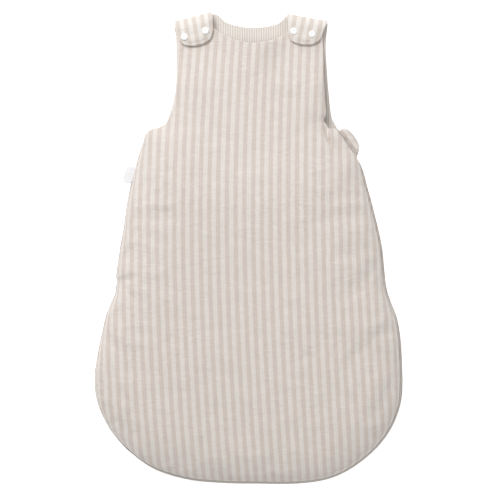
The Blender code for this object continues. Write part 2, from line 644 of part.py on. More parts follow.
s0, s1 = SLIDER_REST, SLIDER_REST + SLIDER_L
slider_at = on_zip(0.5 * (s0 + s1), 0.0, CHAIN_Z)
slider_pivot = pivot("zip_slider_guide", slider_at)
out_plate = tooth_out + 0.4
PIVOT_S = s1 - 1.2
PIVOT_O = out_plate + 1.1 + 0.85
union("zip_slider", [
    (s0, s1, out_plate, out_plate + 1.1, CHAIN_Z - 4.6, CHAIN_Z + 4.6),          # outer wing
    (s0 + 0.2, s1 - 0.2, half + 0.5, out_plate + 0.6, CHAIN_Z + 3.6, CHAIN_Z + 4.5),   # front flange
    (s0 + 0.2, s1 - 0.2, half + 0.5, out_plate + 0.6, CHAIN_Z - 4.5, CHAIN_Z - 3.6),   # back flange
    (s0 + 0.4, s0 + 3.4, -half - 1.0, out_plate + 0.5, CHAIN_Z - 0.3, CHAIN_Z + 0.3),  # wedge between the rows
    (s0 + 0.1, s1 - 0.1, -half - 1.6, -half - 0.5, CHAIN_Z - 4.4, CHAIN_Z + 4.4),      # inner wing
    (PIVOT_S - 3.4, PIVOT_S - 2.0, out_plate + 0.7, PIVOT_O + 1.4, CHAIN_Z - 1.0, CHAIN_Z + 1.0),   # bridge, upper foot
    (PIVOT_S - 3.3, PIVOT_S + 1.15, PIVOT_O + 0.75, PIVOT_O + 1.4, CHAIN_Z - 0.9, CHAIN_Z + 0.9),   # bridge, bar
], METAL, slider_at, slider_pivot)

pull_at = on_zip(PIVOT_S, PIVOT_O, CHAIN_Z)
pull_pivot = pivot("zip_pull_pivot", pull_at)
union("zip_pull", [
    (PIVOT_S - 0.45, PIVOT_S + 0.45, PIVOT_O - 0.45, PIVOT_O + 0.45, CHAIN_Z - 2.6, CHAIN_Z + 2.6),
    (PIVOT_S - 0.4, PIVOT_S + 5.0, PIVOT_O - 0.4, PIVOT_O + 0.4, CHAIN_Z + 1.5, CHAIN_Z + 2.5),
    (PIVOT_S - 0.4, PIVOT_S + 5.0, PIVOT_O - 0.4, PIVOT_O + 0.4, CHAIN_Z - 2.5, CHAIN_Z - 1.5),
    (PIVOT_S + 3.0, PIVOT_S + 19.5, PIVOT_O - 0.5, PIVOT_O + 0.5, CHAIN_Z - 3.0, CHAIN_Z + 3.0),
], METAL, pull_at, pull_pivot)

# Fabric garage folded over the zip's top
garage_path = spline([(162.6, 138.6), (163.2, 144), (163.2, 151), (160.2, 160.5), (153.5, 168), (144.5, 172.6), (134.5, 173.5)], 7.5)
sweep("zip_garage", garage_path, [(0.0, 10.4), (0.0, 22.8), (4.2, 22.8), (4.2, 21.2), (1.8, 20.4), (1.8, 12.4), (4.2, 11.8), (4.2, 10.4)], CLOTH)

# Blank woven side label, folded double and sewn into the left seam
label = triangulate(np.array([(-167.3, 119.2), (-176.6, 119.2), (-184, 102.5), (-183.2, 97), (-176.6, 93.6), (-174.6, 95.4)]), 30.0, [])
slab("side_label", label, np.full(len(label[0]), SEAM_Z - 0.4), np.full(len(label[0]), SEAM_Z + 0.4), LABEL)
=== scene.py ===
import math

import bpy
import numpy as np
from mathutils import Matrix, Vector
from mathutils.geometry import delaunay_2d_cdt
from mathutils.kdtree import KDTree


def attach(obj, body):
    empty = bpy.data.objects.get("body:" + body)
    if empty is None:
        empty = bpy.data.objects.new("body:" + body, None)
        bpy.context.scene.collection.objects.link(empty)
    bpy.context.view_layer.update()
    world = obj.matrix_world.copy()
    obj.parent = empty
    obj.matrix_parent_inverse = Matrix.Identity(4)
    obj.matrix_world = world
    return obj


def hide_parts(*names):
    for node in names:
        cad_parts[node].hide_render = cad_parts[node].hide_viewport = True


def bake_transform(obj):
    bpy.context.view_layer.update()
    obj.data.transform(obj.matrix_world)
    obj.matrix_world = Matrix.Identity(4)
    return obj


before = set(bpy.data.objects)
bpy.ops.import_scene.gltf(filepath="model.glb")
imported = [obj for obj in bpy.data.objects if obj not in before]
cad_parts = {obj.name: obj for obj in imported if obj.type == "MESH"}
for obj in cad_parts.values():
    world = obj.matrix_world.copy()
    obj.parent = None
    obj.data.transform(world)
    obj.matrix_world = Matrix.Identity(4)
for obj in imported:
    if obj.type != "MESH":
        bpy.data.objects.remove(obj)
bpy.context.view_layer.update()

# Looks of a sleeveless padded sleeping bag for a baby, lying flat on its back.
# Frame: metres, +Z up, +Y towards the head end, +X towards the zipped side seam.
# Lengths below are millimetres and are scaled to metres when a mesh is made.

MM = 0.001
scene = bpy.context.scene

# ---------------------------------------------------------------- driving dimensions (mm), those of the frame
SHELL_T = 1.2
LINING_T = 1.2
LAYER_GAP = 0.3
EDGE_T = 5.0
PANEL_T = 10.0
TAB_T = 6.5
LOFT_BODY = 54.0
LOFT_NECK = 30.0
LOFT_TAB = 16.0
ROLL_BODY = 55.0
ROLL_TAB = 16.0
BACK_ROLL = 34.0
SEAM_Z = 15.5
FOLD_Z = 7.5
STRAP_T = 5.4
STRAP_LOW = 20.2
STRAP_RISE = 16.0
PRONG_R = 1.15
SNAP_R = 5.4
LEFT_CREASE = ((-111.0, 334.0), (-55.0, 348.4))
RIGHT_CREASE = ((57.0, 345.7), (118.0, 334.5))
LEFT_SNAPS = {"outer": (-94.3, 310.5), "inner": (-63.6, 319.4)}
RIGHT_SNAPS = {"inner": (66.8, 318.7), "outer": (94.0, 314.6)}
FLAP_FROM = np.array((174.0, 93.0))
FLAP_TO = np.array((-185.0, -296.0))
ZIP_TOP = np.array((151.4, 147.0))
ZIP_DIR = np.array((0.2368, -0.9716))
ZIP_STRAIGHT = 168.0
ZIP_INSET = 6.5
TAPE_T = 0.8
CHAIN_Z = 16.0
CHAIN_SLOT = 1.2
TOOTH = 1.8
SLIDER_REST = 5.0
SLIDER_L = 10.0
STRIPE = 12.79         # one light and one dark stripe of the outer cloth
PINSTRIPE = 3.55       # one pair of stripes of the lining

ARMHOLE_LEFT = [(-111, 334), (-108, 310), (-106.5, 274), (-108, 239), (-112, 212), (-119, 189), (-128, 179.4), (-141, 175.4), (-149.5, 171.5), (-152, 168)]
SIDE_LEFT = [(-152, 168), (-161, 141), (-166, 123), (-177, 79), (-182.5, 46), (-184.8, 28), (-190.2, -1), (-195.2, -36), (-196, -44), (-194.2, -51), (-196, -57), (-196.6, -67),
             (-202.4, -80), (-210.5, -100), (-216.5, -125), (-222, -152), (-226.5, -178), (-228, -200)]
HEM = [(-228, -200), (-225, -224), (-216, -249), (-200, -276), (-175, -303), (-138, -329), (-89, -344), (-37, -349), (12, -350),
       (70, -350), (115, -344), (150, -329), (184, -303), (206.5, -276), (220, -249), (226.5, -223), (228, -196)]
SIDE_RIGHT = [(228, -196), (225.5, -143), (220, -107), (210.5, -81), (204, -61), (201, -36), (198, -4), (192, 26),
              (183.5, 61), (176, 88), (169, 115), (161, 132.5)]
BACK_UNDERARM = [(161, 132.5), (154, 150), (145, 164), (132, 177)]
ARMHOLE_RIGHT_BACK = [(132, 177), (127, 186), (123, 196), (120, 221), (117, 257), (115, 301), (118, 334.5)]
NECK_BACK = [(57, 345.7), (51, 338), (42.5, 332), (24, 327.7), (5, 326.6), (-14, 328.6), (-33, 334.5), (-46, 345.5), (-55, 348.4)]
FRONT_UNDERARM = [(160, 132), (151.5, 144.7), (145, 154), (137, 165), (130, 174.5)]
ARMHOLE_RIGHT_FRONT = [(130, 174.8), (123, 175.0), (118.5, 175.6), (116.2, 178.6), (113.8, 183.4), (110.6, 188.3), (113.6, 192.6), (114.6, 198), (113.8, 210), (112.2, 230), (111.4, 250), (111.2, 270), (111.0, 292), (109.6, 308), (107, 320.5)]
TAB_RIGHT = [(107, 320.5), (64, 328.5)]
NECK_FRONT = [(64, 328.5), (60.7, 321.5), (47, 312), (28.5, 305), (5, 301.6), (-14, 305), (-33, 312), (-50, 324), (-58, 331.5)]
TAB_LEFT = [(-58, 331.5), (-105, 319.5)]
ARMHOLE_LEFT_FRONT = [(-105, 319.5), (-105.5, 300), (-105, 274), (-107, 239), (-111.6, 212), (-119, 188.6), (-128, 179.0), (-141, 175.0), (-149.5, 171.2), (-152, 168)]
STRAP_LEFT = [(-55, 348.4), (-52.5, 338), (-52, 326), (-52.3, 318), (-55.6, 309), (-63, 302.7), (-71, 299.2), (-82, 297.4), (-92, 298),
              (-98.7, 301.6), (-102.5, 307.5), (-106, 318), (-111, 334)]
STRAP_RIGHT = [(118, 334.5), (114, 326.5), (110, 317), (104.5, 305.6), (96.5, 300.4), (88, 299), (78, 299.7), (68.5, 302.3), (61.6, 307),
               (59, 318), (58, 332), (57, 345.7)]


# ---------------------------------------------------------------- small tools
def smooth(a, b, v):
    t = np.clip((np.asarray(v, float) - a) / (b - a), 0.0, 1.0)
    return t * t * (3.0 - 2.0 * t)


def mix(a, b, t):
    return a + (b - a) * t


def rounded(t):
    """Quarter-ellipse rise from 0 at an edge to 1."""
    t = np.clip(t, 0.0, 1.0)
    return np.sqrt(np.maximum(0.0, 1.0 - (1.0 - t) ** 2))


def spline(points, step):
    """A curve through the pattern's points, with a point about every step, both ends kept."""
    p = np.array(points, float)
    if len(p) == 2:
        n = max(1, int(round(np.linalg.norm(p[1] - p[0]) / step)))
        return [p[0] + (p[1] - p[0]) * i / n for i in range(n + 1)]
    ext = np.vstack([2 * p[0] - p[1], p, 2 * p[-1] - p[-2]])
    fine = []
    for i in range(1, len(ext) - 2):
        a, b, c, d = ext[i - 1], ext[i], ext[i + 1], ext[i + 2]
        for k in range(12):
            t = k / 12.0
            fine.append(0.5 * (2 * b + (c - a) * t + (2 * a - 5 * b + 4 * c - d) * t * t + (3 * b - a - 3 * c + d) * t ** 3))
    fine.append(p[-1])
    fine = np.array(fine)
    run = np.concatenate([[0], np.cumsum(np.linalg.norm(np.diff(fine, axis=0), axis=1))])
    n = max(1, int(round(run[-1] / step)))
    at = np.linspace(0, run[-1], n + 1)
    return [np.array([np.interp(s, run, fine[:, 0]), np.interp(s, run, fine[:, 1])]) for s in at]


def outline(parts, step):
    loop = []
    for part in parts:
        loop.extend(spline(part, step)[:-1])
    return np.array(loop)


def inset_toward(points, amount, inward=1.0):
    p = np.array(points, float)
    d = np.gradient(p, axis=0)
    d /= np.linalg.norm(d, axis=1)[:, None]
    return p + inward * np.stack([-d[:, 1], d[:, 0]], 1) * amount


def distance(loop, pts, closed=True):
    """Distance of each point from the line of the loop."""
    a = np.array(loop, float)
    b = np.roll(a, -1, axis=0) if closed else a[1:]
    a = a if closed else a[:-1]
    pts = np.asarray(pts, float)
    ab = b - a
    length = np.maximum((ab ** 2).sum(1), 1e-12)
    best = np.full(len(pts), 1e18)
    for i in range(len(a)):
        t = np.clip(((pts - a[i]) @ ab[i]) / length[i], 0, 1)
        near = a[i] + t[:, None] * ab[i]
        best = np.minimum(best, ((pts - near) ** 2).sum(1))
    return np.sqrt(best)


def inside(loop, pts):
    x, y = np.asarray(pts, float).T
    a = np.array(loop, float)
    b = np.roll(a, -1, axis=0)
    odd = np.zeros(len(x), bool)
    for (x0, y0), (x1, y1) in zip(a, b):
        if y0 == y1:
            continue
        odd ^= ((y0 > y) != (y1 > y)) & (x < (x1 - x0) * (y - y0) / (y1 - y0) + x0)
    return odd


class Noise:
    """Smooth value noise on a plane, the same at every run."""

    def __init__(self, seed):
        self.g = np.random.RandomState(seed).rand(257, 257) * 2.0 - 1.0

    def __call__(self, x, y):
        x, y = np.asarray(x, float), np.asarray(y, float)
        xi, yi = np.floor(x).astype(int), np.floor(y).astype(int)
        fx, fy = x - xi, y - yi
        fx, fy = fx * fx * fx * (fx * (fx * 6 - 15) + 10), fy * fy * fy * (fy * (fy * 6 - 15) + 10)
        a, b = xi % 257, yi % 257
        a1, b1 = (a + 1) % 257, (b + 1) % 257
        g = self.g
        return mix(mix(g[a, b], g[a1, b], fx), mix(g[a, b1], g[a1, b1], fx), fy)


def plan_of(loop, spacing, depths, more=None):
    """Plan triangles of a panel: its edge, rings inside it at the given depths, an even field, and any more points."""
    loop = np.array(loop, float)
    area = 0.5 * np.sum(loop[:, 0] * np.roll(loop[:, 1], -1) - np.roll(loop[:, 0], -1) * loop[:, 1])
    if area < 0:
        loop = loop[::-1]
    nxt, prv = np.roll(loop, -1, axis=0), np.roll(loop, 1, axis=0)
    d = nxt - prv
    d /= np.maximum(np.linalg.norm(d, axis=1), 1e-9)[:, None]
    side = np.stack([-d[:, 1], d[:, 0]], 1)
    pts, last = [loop], 0.0
    for depth in depths:
        moved = loop + side * depth
        ok = inside(loop, moved)
        ok &= distance(loop, moved) > 0.9 * depth
        pts.append(moved[ok])
        last = depth
    lo, hi = loop.min(0), loop.max(0)
    rows = np.arange(lo[1] + 0.5 * spacing, hi[1], spacing * 0.866)
    grid = np.array([(x, y) for k, y in enumerate(rows) for x in np.arange(lo[0] + (0.5 * spacing if k % 2 else 0.0), hi[0], spacing)])
    grid = grid[inside(loop, grid)]
    grid = grid[distance(loop, grid) > last + 0.55 * spacing]
    if more is not None:
        more = more[inside(loop, more)]
        more = more[distance(loop, more) > last * 0.35]
        tight = np.sqrt(((grid[:, None, :] - more[None]) ** 2).sum(2)).min(1)
        grid = grid[tight > 1.2]
        pts = [pts[0]] + [q[np.sqrt(((q[:, None, :] - more[None]) ** 2).sum(2)).min(1) > 0.9] for q in pts[1:] if len(q)]
        pts.append(more)
    pts.append(grid)
    n = len(loop)
    pts = np.vstack(pts)
    out = delaunay_2d_cdt([Vector((float(x), float(y))) for x, y in pts], [(i, (i + 1) % n) for i in range(n)], [], 0, 1e-5)
    verts = np.array([(v.x, v.y) for v in out[0]])
    tris = np.array([tuple(f) for f in out[2]], int)
    keep = inside(loop, verts[tris].mean(1))
    tris = tris[keep]
    a, b, c = verts[tris[:, 0]], verts[tris[:, 1]], verts[tris[:, 2]]
    turn = (b[:, 0] - a[:, 0]) * (c[:, 1] - a[:, 1]) - (b[:, 1] - a[:, 1]) * (c[:, 0] - a[:, 0])
    tris[turn < 0] = tris[turn < 0][:, [0, 2, 1]]
    used = np.unique(tris)
    index = np.full(len(verts), -1)
    index[used] = np.arange(len(used))
    return verts[used], index[tris]


def mesh_object(name, verts_mm, faces, uv=None, mat=None, smooth_angle=60):
    """A mesh in the bag's frame. uv is one pair per vertex."""
    me = bpy.data.meshes.new(name)
    v = np.asarray(verts_mm, float)
    me.from_pydata((v * MM).tolist(), [], [tuple(int(i) for i in f) for f in faces])
    if uv is not None:
        layer = me.uv_layers.new(name="weave")
        idx = np.zeros(len(me.loops), np.int32)
        me.loops.foreach_get("vertex_index", idx)
        layer.data.foreach_set("uv", np.asarray(uv, np.float32)[idx].ravel())
    rest = me.attributes.new("rest", "FLOAT_VECTOR", "POINT")
    rest.data.foreach_set("vector", (v * MM).astype(np.float32).ravel())
    me.update()
    me.shade_smooth()
    if smooth_angle is not None:
        me.set_sharp_from_angle(angle=math.radians(smooth_angle))
    o = bpy.data.objects.new(name, me)
    scene.collection.objects.link(o)
    if mat is not None:
        me.materials.append(mat)
    return o


def layer(name, plan, low, high, uv, mat, outward=None):
    """A closed cloth layer over plan triangles, between two heights given at each point.
    outward is an optional sideways move of the two faces, in mm."""
    verts, tris = plan
    n = len(verts)
    top = np.column_stack([verts, high])
    bot = np.column_stack([verts, low])
    if outward is not None:
        top = top + outward[0]
        bot = bot + outward[1]
    faces = [tuple(t) for t in tris] + [(a + n, c + n, b + n) for a, b, c in tris]
    e = np.vstack([tris[:, [0, 1]], tris[:, [1, 2]], tris[:, [2, 0]]])
    have = set(map(tuple, e))
    faces += [(a, a + n, b + n, b) for a, b in have if (b, a) not in have]
    return mesh_object(name, np.vstack([top, bot]), faces, np.vstack([uv, uv]), mat)


# ---------------------------------------------------------------- shape of the bag
BACK_PARTS = [ARMHOLE_LEFT, SIDE_LEFT, HEM, SIDE_RIGHT, BACK_UNDERARM, ARMHOLE_RIGHT_BACK,
              [ARMHOLE_RIGHT_BACK[-1], NECK_BACK[0]], NECK_BACK, [NECK_BACK[-1], ARMHOLE_LEFT[0]]]
_hem = inset_toward(spline(HEM, 12.0), 3.5)
_right = inset_toward(spline(SIDE_RIGHT, 12.0), 3.0)
_fade = smooth(-205, -120, _hem[:, 0])[:, None]
_hem = np.array(spline(HEM, 12.0)) * (1 - _fade) + _hem * _fade
_top = smooth(140, 100, _right[:, 1])[:, None]
_right = np.array(spline(SIDE_RIGHT, 12.0)) * (1 - _top) + _right * _top
_join = [_right[-1], np.array(FRONT_UNDERARM[1])]
FRONT_PARTS = [ARMHOLE_LEFT_FRONT, SIDE_LEFT, _hem, np.vstack([_hem[-1:], _right[1:]]), _join, FRONT_UNDERARM[1:],
               ARMHOLE_RIGHT_FRONT, TAB_RIGHT, NECK_FRONT, TAB_LEFT]
FINE = 4.2
FRONT_LOOP = outline(FRONT_PARTS, FINE)
BACK_LOOP = outline(BACK_PARTS, FINE)
FOLD_DIR = (FLAP_TO - FLAP_FROM) / np.linalg.norm(FLAP_TO - FLAP_FROM)
FOLD_SIDE = np.array([-FOLD_DIR[1], FOLD_DIR[0]])
if FOLD_SIDE[0] < 0:
    FOLD_SIDE = -FOLD_SIDE


def zip_share(p):
    """1 along the zip, 0 along the closed seam."""
    ang = np.degrees(np.arctan2(p[:, 1] + 60.0, p[:, 0]))
    return smooth(-128.8, -124.6, ang) * (1.0 - smooth(66, 74, ang))


def pressed(p):
    """1 on the shoulder tabs, which the fastened straps hold down."""
    return smooth(10, 55, np.abs(p[:, 0])) * smooth(232, 298, p[:, 1])


def stripe_phase(p):
    """Number of stripes from the middle of the bag: they run with the grain, drawn a little askew by the padding."""
    x, y = p[:, 0] / 100.0, p[:, 1] / 100.0
    return (6.9319 + 7.8164 * x + 0.1126 * y - 0.0931 * y ** 2 - 0.0034 * y ** 3 + 0.0235 * x * y
            + 0.0112 * x * y ** 2 + 0.0047 * x ** 2 - 0.0031 * x ** 2 * y + 0.0069 * x ** 3)


def groove(p, a, b, width, depth):
    """A sewn or creased furrow along a short line, fading at its ends."""
    a, b = np.array(a, float), np.array(b, float)
    ab = b - a
    t = np.clip(((p - a) @ ab) / (ab @ ab), 0, 1)
    r = np.linalg.norm(p - (a + t[:, None] * ab), axis=1)
    return depth * np.exp(-(r / width) ** 2) * (1.0 - 0.85 * t)


broad, medium, fine = Noise(3), Noise(11), Noise(29)


def along_edge(loop, p):
    """For each point: how far round the loop it lies, and the direction inward from the edge nearest to it."""
    step = np.roll(loop, -1, axis=0) - loop
    run = np.concatenate([[0], np.cumsum(np.linalg.norm(step, axis=1))])[:-1]
    t = np.roll(loop, -1, axis=0) - np.roll(loop, 1, axis=0)
    t /= np.linalg.norm(t, axis=1)[:, None]
    inward = np.stack([-t[:, 1], t[:, 0]], 1)
    near = np.empty(len(p), int)
    for i in range(0, len(p), 1500):
        near[i:i + 1500] = ((p[i:i + 1500, None, :] - loop[None]) ** 2).sum(2).argmin(1)
    return run[near] + ((p - loop[near]) * t[near]).sum(1), inward[near]


def gathers(loop, p, d, seed):
    """Small puckers square to the sewn edge, in mm."""
    s_, _ = along_edge(loop, p)
    g = Noise(seed)(s_ / 9.5, d / 16.0) + 0.5 * Noise(seed + 1)(s_ / 23.0, d / 30.0)
    return g * smooth(0.6, 4.0, d) * (1 - smooth(6.0, 24.0, d)) * (1 - smooth(150, 190, p[:, 1]))


def taken_up(loop, height):
    """Stripes that the slope of a padded face takes up, counted from the middle of the bag outward."""
    xs, ys = np.arange(-236.0, 237.0, 2.0), np.arange(-356.0, 353.0, 4.0)
    gx, gy = np.meshgrid(xs, ys)
    q = np.column_stack([gx.ravel(), gy.ravel()])
    z = np.where(inside(loop, q), height(q), np.nan).reshape(gx.shape)
    slope = np.nan_to_num(np.abs(np.diff(z, axis=1)) / 2.0)
    e = np.maximum(0.0, np.sqrt(1.0 + np.minimum(slope, 3.5) ** 2) - 1.12) * 2.0
    mid = len(xs) // 2
    total = np.zeros(gx.shape)
    total[:, mid + 1:] = np.cumsum(e[:, mid:], axis=1)
    total[:, :mid] = -np.cumsum(e[:, :mid][:, ::-1], axis=1)[:, ::-1]

    def at(p):
        u, v = np.clip((p[:, 0] + 236.0) / 2.0, 0, len(xs) - 1.001), np.clip((p[:, 1] + 356.0) / 4.0, 0, len(ys) - 1.001)
        i, j = u.astype(int), v.astype(int)
        fu, fv = u - i, v - j
        return mix(mix(total[j, i], total[j, i + 1], fu), mix(total[j + 1, i], total[j + 1, i + 1], fu), fv) / STRIPE

    return at


def wrinkles(p, d):
    """Soft creases of the padded double gauze, in mm, nothing at the sewn edges."""
    x, y = p[:, 0], p[:, 1]
    free = smooth(3, 26, d)
    w = 0.9 * broad(x / 70 + 3.1, y / 60 + 7.7)
    w += 0.55 * medium(x / 34 + 1.3 + 0.3 * broad(y / 40, x / 50), y / 20 + 5.9)
    w += 0.42 * medium(x / 23 + 9.3, y / 10.5 + 2.2)
    w += 0.30 * fine(x / 14 + 4.4, y / 6.0 + 8.1)
    near = smooth(0, 4, d) * (1 - smooth(8, 24, d))
    along = Noise(47)(x / 9.0 + 0.2 * y / 9.0, y / 9.0)
    return w * free + 0.55 * along * near


def front_surfaces(p, extra):
    d, y = distance(FRONT_LOOP, p), p[:, 1]
    zs, pr = zip_share(p), pressed(p)
    loft = mix(LOFT_BODY, LOFT_NECK, smooth(60, 290, y)) - (LOFT_NECK - LOFT_TAB) * pr
    edge = mix(mix(SEAM_Z + 0.5 + EDGE_T, CHAIN_Z + 12.5, zs), 26.0 - (26.0 - LOFT_TAB + 0.5) * pr, smooth(150, 195, y))
    roll = mix(ROLL_BODY, ROLL_TAB, smooth(120, 300, y))
    top = edge + (loft - edge) * rounded(d / roll)
    thick = EDGE_T + (mix(PANEL_T, TAB_T, smooth(150, 300, y)) - EDGE_T) * smooth(0, 22, d)
    low = top - thick
    closed = (1 - zs) * (1 - smooth(152, 172, y))
    # along the zip the padded edge comes down on the tape it is sewn to
    on_tape = zs * (1 - smooth(112, 134, y))
    low = mix(low, np.minimum(low, 23.5), on_tape * (1 - smooth(9, 22, d)))
    centre = mix(edge - 2.5 - 2.2 * on_tape, SEAM_Z + 0.25, closed)
    nose = rounded(d / mix(2.6, 7.0, closed))
    bump = extra * (1 - 0.85 * pr)
    high = centre + (top + bump - centre) * nose + 0.15 * (1 - nose)
    # dents in the outer face are taken up by the padding, so the lining under them stays covered
    lift = 0.3 * np.where(bump < 0.0, np.minimum(0.0, bump + 3.5), bump)
    lift += 0.45 * smooth(4, 8, d) * (1 - smooth(24, 34, d))
    inner = centre + (low + LINING_T + LAYER_GAP + lift - centre) * nose - 0.15 * (1 - nose)
    seam = centre - 0.45
    lining_low = seam + (low + 0.3 * bump - seam) * nose - 0.12 * (1 - nose)
    lining_high = seam + (low + LINING_T + 0.3 * bump - seam) * nose + 0.12 * (1 - nose)
    return d, high, inner, lining_high, lining_low


def back_surfaces(p, extra):
    d, y = distance(BACK_LOOP, p), p[:, 1]
    zs = zip_share(p)
    edge = mix(mix(SEAM_Z - 0.5 - EDGE_T, 3.5, zs), 1.5, smooth(150, 195, y))
    roll = mix(BACK_ROLL, 12.0, smooth(150, 260, y))
    low = edge * (1.0 - rounded(d / roll))
    thick = EDGE_T + (mix(PANEL_T, TAB_T, smooth(150, 300, y)) - EDGE_T) * smooth(0, 22, d)
    high = np.minimum(low + thick, np.where(y > 290, TAB_T, 99.0))
    closed = (1 - zs) * (1 - smooth(152, 172, y))
    centre = mix(edge + 2.5, SEAM_Z - 0.25, closed)
    nose = rounded(d / mix(2.6, 7.0, closed))
    bump = extra * (1 - smooth(255, 290, y))
    outer = centre + (low + 0.35 * np.maximum(0.0, extra) - centre) * nose - 0.15 * (1 - nose)
    inner = centre + (high - LINING_T - LAYER_GAP - centre) * nose + 0.15 * (1 - nose)
    seam = centre + 0.45
    lining_low = seam + (high - LINING_T + 0.2 * bump - seam) * nose - 0.12 * (1 - nose)
    lining_high = seam + (high + 0.2 * bump - seam) * nose + 0.12 * (1 - nose)
    return d, np.maximum(outer, 0.05), np.maximum(inner, np.maximum(outer, 0.05) + 0.2), lining_high, lining_low


# ---------------------------------------------------------------- materials
def new_material(name):
    m = bpy.data.materials.new(name)
    m.use_nodes = True
    nt = m.node_tree
    nt.nodes.clear()
    out = nt.nodes.new("ShaderNodeOutputMaterial")
    b = nt.nodes.new("ShaderNodeBsdfPrincipled")
    nt.links.new(b.outputs[0], out.inputs[0])
    return m, nt, b


class Net:
    """Short names for building a node network."""

    def __init__(self, nt):
        self.nt = nt

    def _put(self, socket, value):
        if isinstance(value, bpy.types.NodeSocket):
            self.nt.links.new(value, socket)
        elif value is not None:
            socket.default_value = value

    def math(self, op, a, b=None, c=None, clamp=False):
        n = self.nt.nodes.new("ShaderNodeMath")
        n.operation, n.use_clamp = op, clamp
        for s, v in zip(n.inputs, (a, b, c)):
            self._put(s, v)
        return n.outputs[0]

    def vec(self, x, y, z=0.0):
        n = self.nt.nodes.new("ShaderNodeCombineXYZ")
        for s, v in zip(n.inputs, (x, y, z)):
            self._put(s, v)
        return n.outputs[0]

    def uv(self):
        n = self.nt.nodes.new("ShaderNodeUVMap")
        n.uv_map = "weave"
        s = self.nt.nodes.new("ShaderNodeSeparateXYZ")
        self.nt.links.new(n.outputs[0], s.inputs[0])
        return s.outputs[0], s.outputs[1]

    def rest(self):
        n = self.nt.nodes.new("ShaderNodeAttribute")
        n.attribute_name = "rest"
        return n.outputs["Vector"]

    def noise(self, vector, scale, detail=2.0, rough=0.5):
        n = self.nt.nodes.new("ShaderNodeTexNoise")
        self._put(n.inputs["Vector"], vector)
        n.inputs["Scale"].default_value = scale
        n.inputs["Detail"].default_value = detail
        n.inputs["Roughness"].default_value = rough
        return n.outputs["Fac"]

    def ramp(self, value, a, b, lo=0.0, hi=1.0, kind="SMOOTHSTEP"):
        n = self.nt.nodes.new("ShaderNodeMapRange")
        n.interpolation_type = kind
        self._put(n.inputs["Value"], value)
        for name, v in (("From Min", a), ("From Max", b), ("To Min", lo), ("To Max", hi)):
            n.inputs[name].default_value = v
        return n.outputs["Result"]

    def colour(self, t, a, b):
        n = self.nt.nodes.new("ShaderNodeMix")
        n.data_type = "RGBA"
        self._put(n.inputs["Factor"], t)
        n.inputs[6].default_value = (*a, 1.0)
        n.inputs[7].default_value = (*b, 1.0)
        return n.outputs[2]

    def scaled(self, colour, factor):
        n = self.nt.nodes.new("ShaderNodeVectorMath")
        n.operation = "SCALE"
        self._put(n.inputs[0], colour)
        self._put(n.inputs["Scale"], factor)
        return n.outputs[0]

    def bump(self, height, strength, dist, normal=None):
        n = self.nt.nodes.new("ShaderNodeBump")
        n.inputs["Strength"].default_value = strength
        n.inputs["Distance"].default_value = dist
        self._put(n.inputs["Height"], height)
        if normal is not None:
            self._put(n.inputs["Normal"], normal)
        return n.outputs[0]


def linear(r, g, b):
    def one(c):
        c /= 255.0
        return c / 12.92 if c <= 0.04045 else ((c + 0.055) / 1.055) ** 2.4
    return one(r), one(g), one(b)


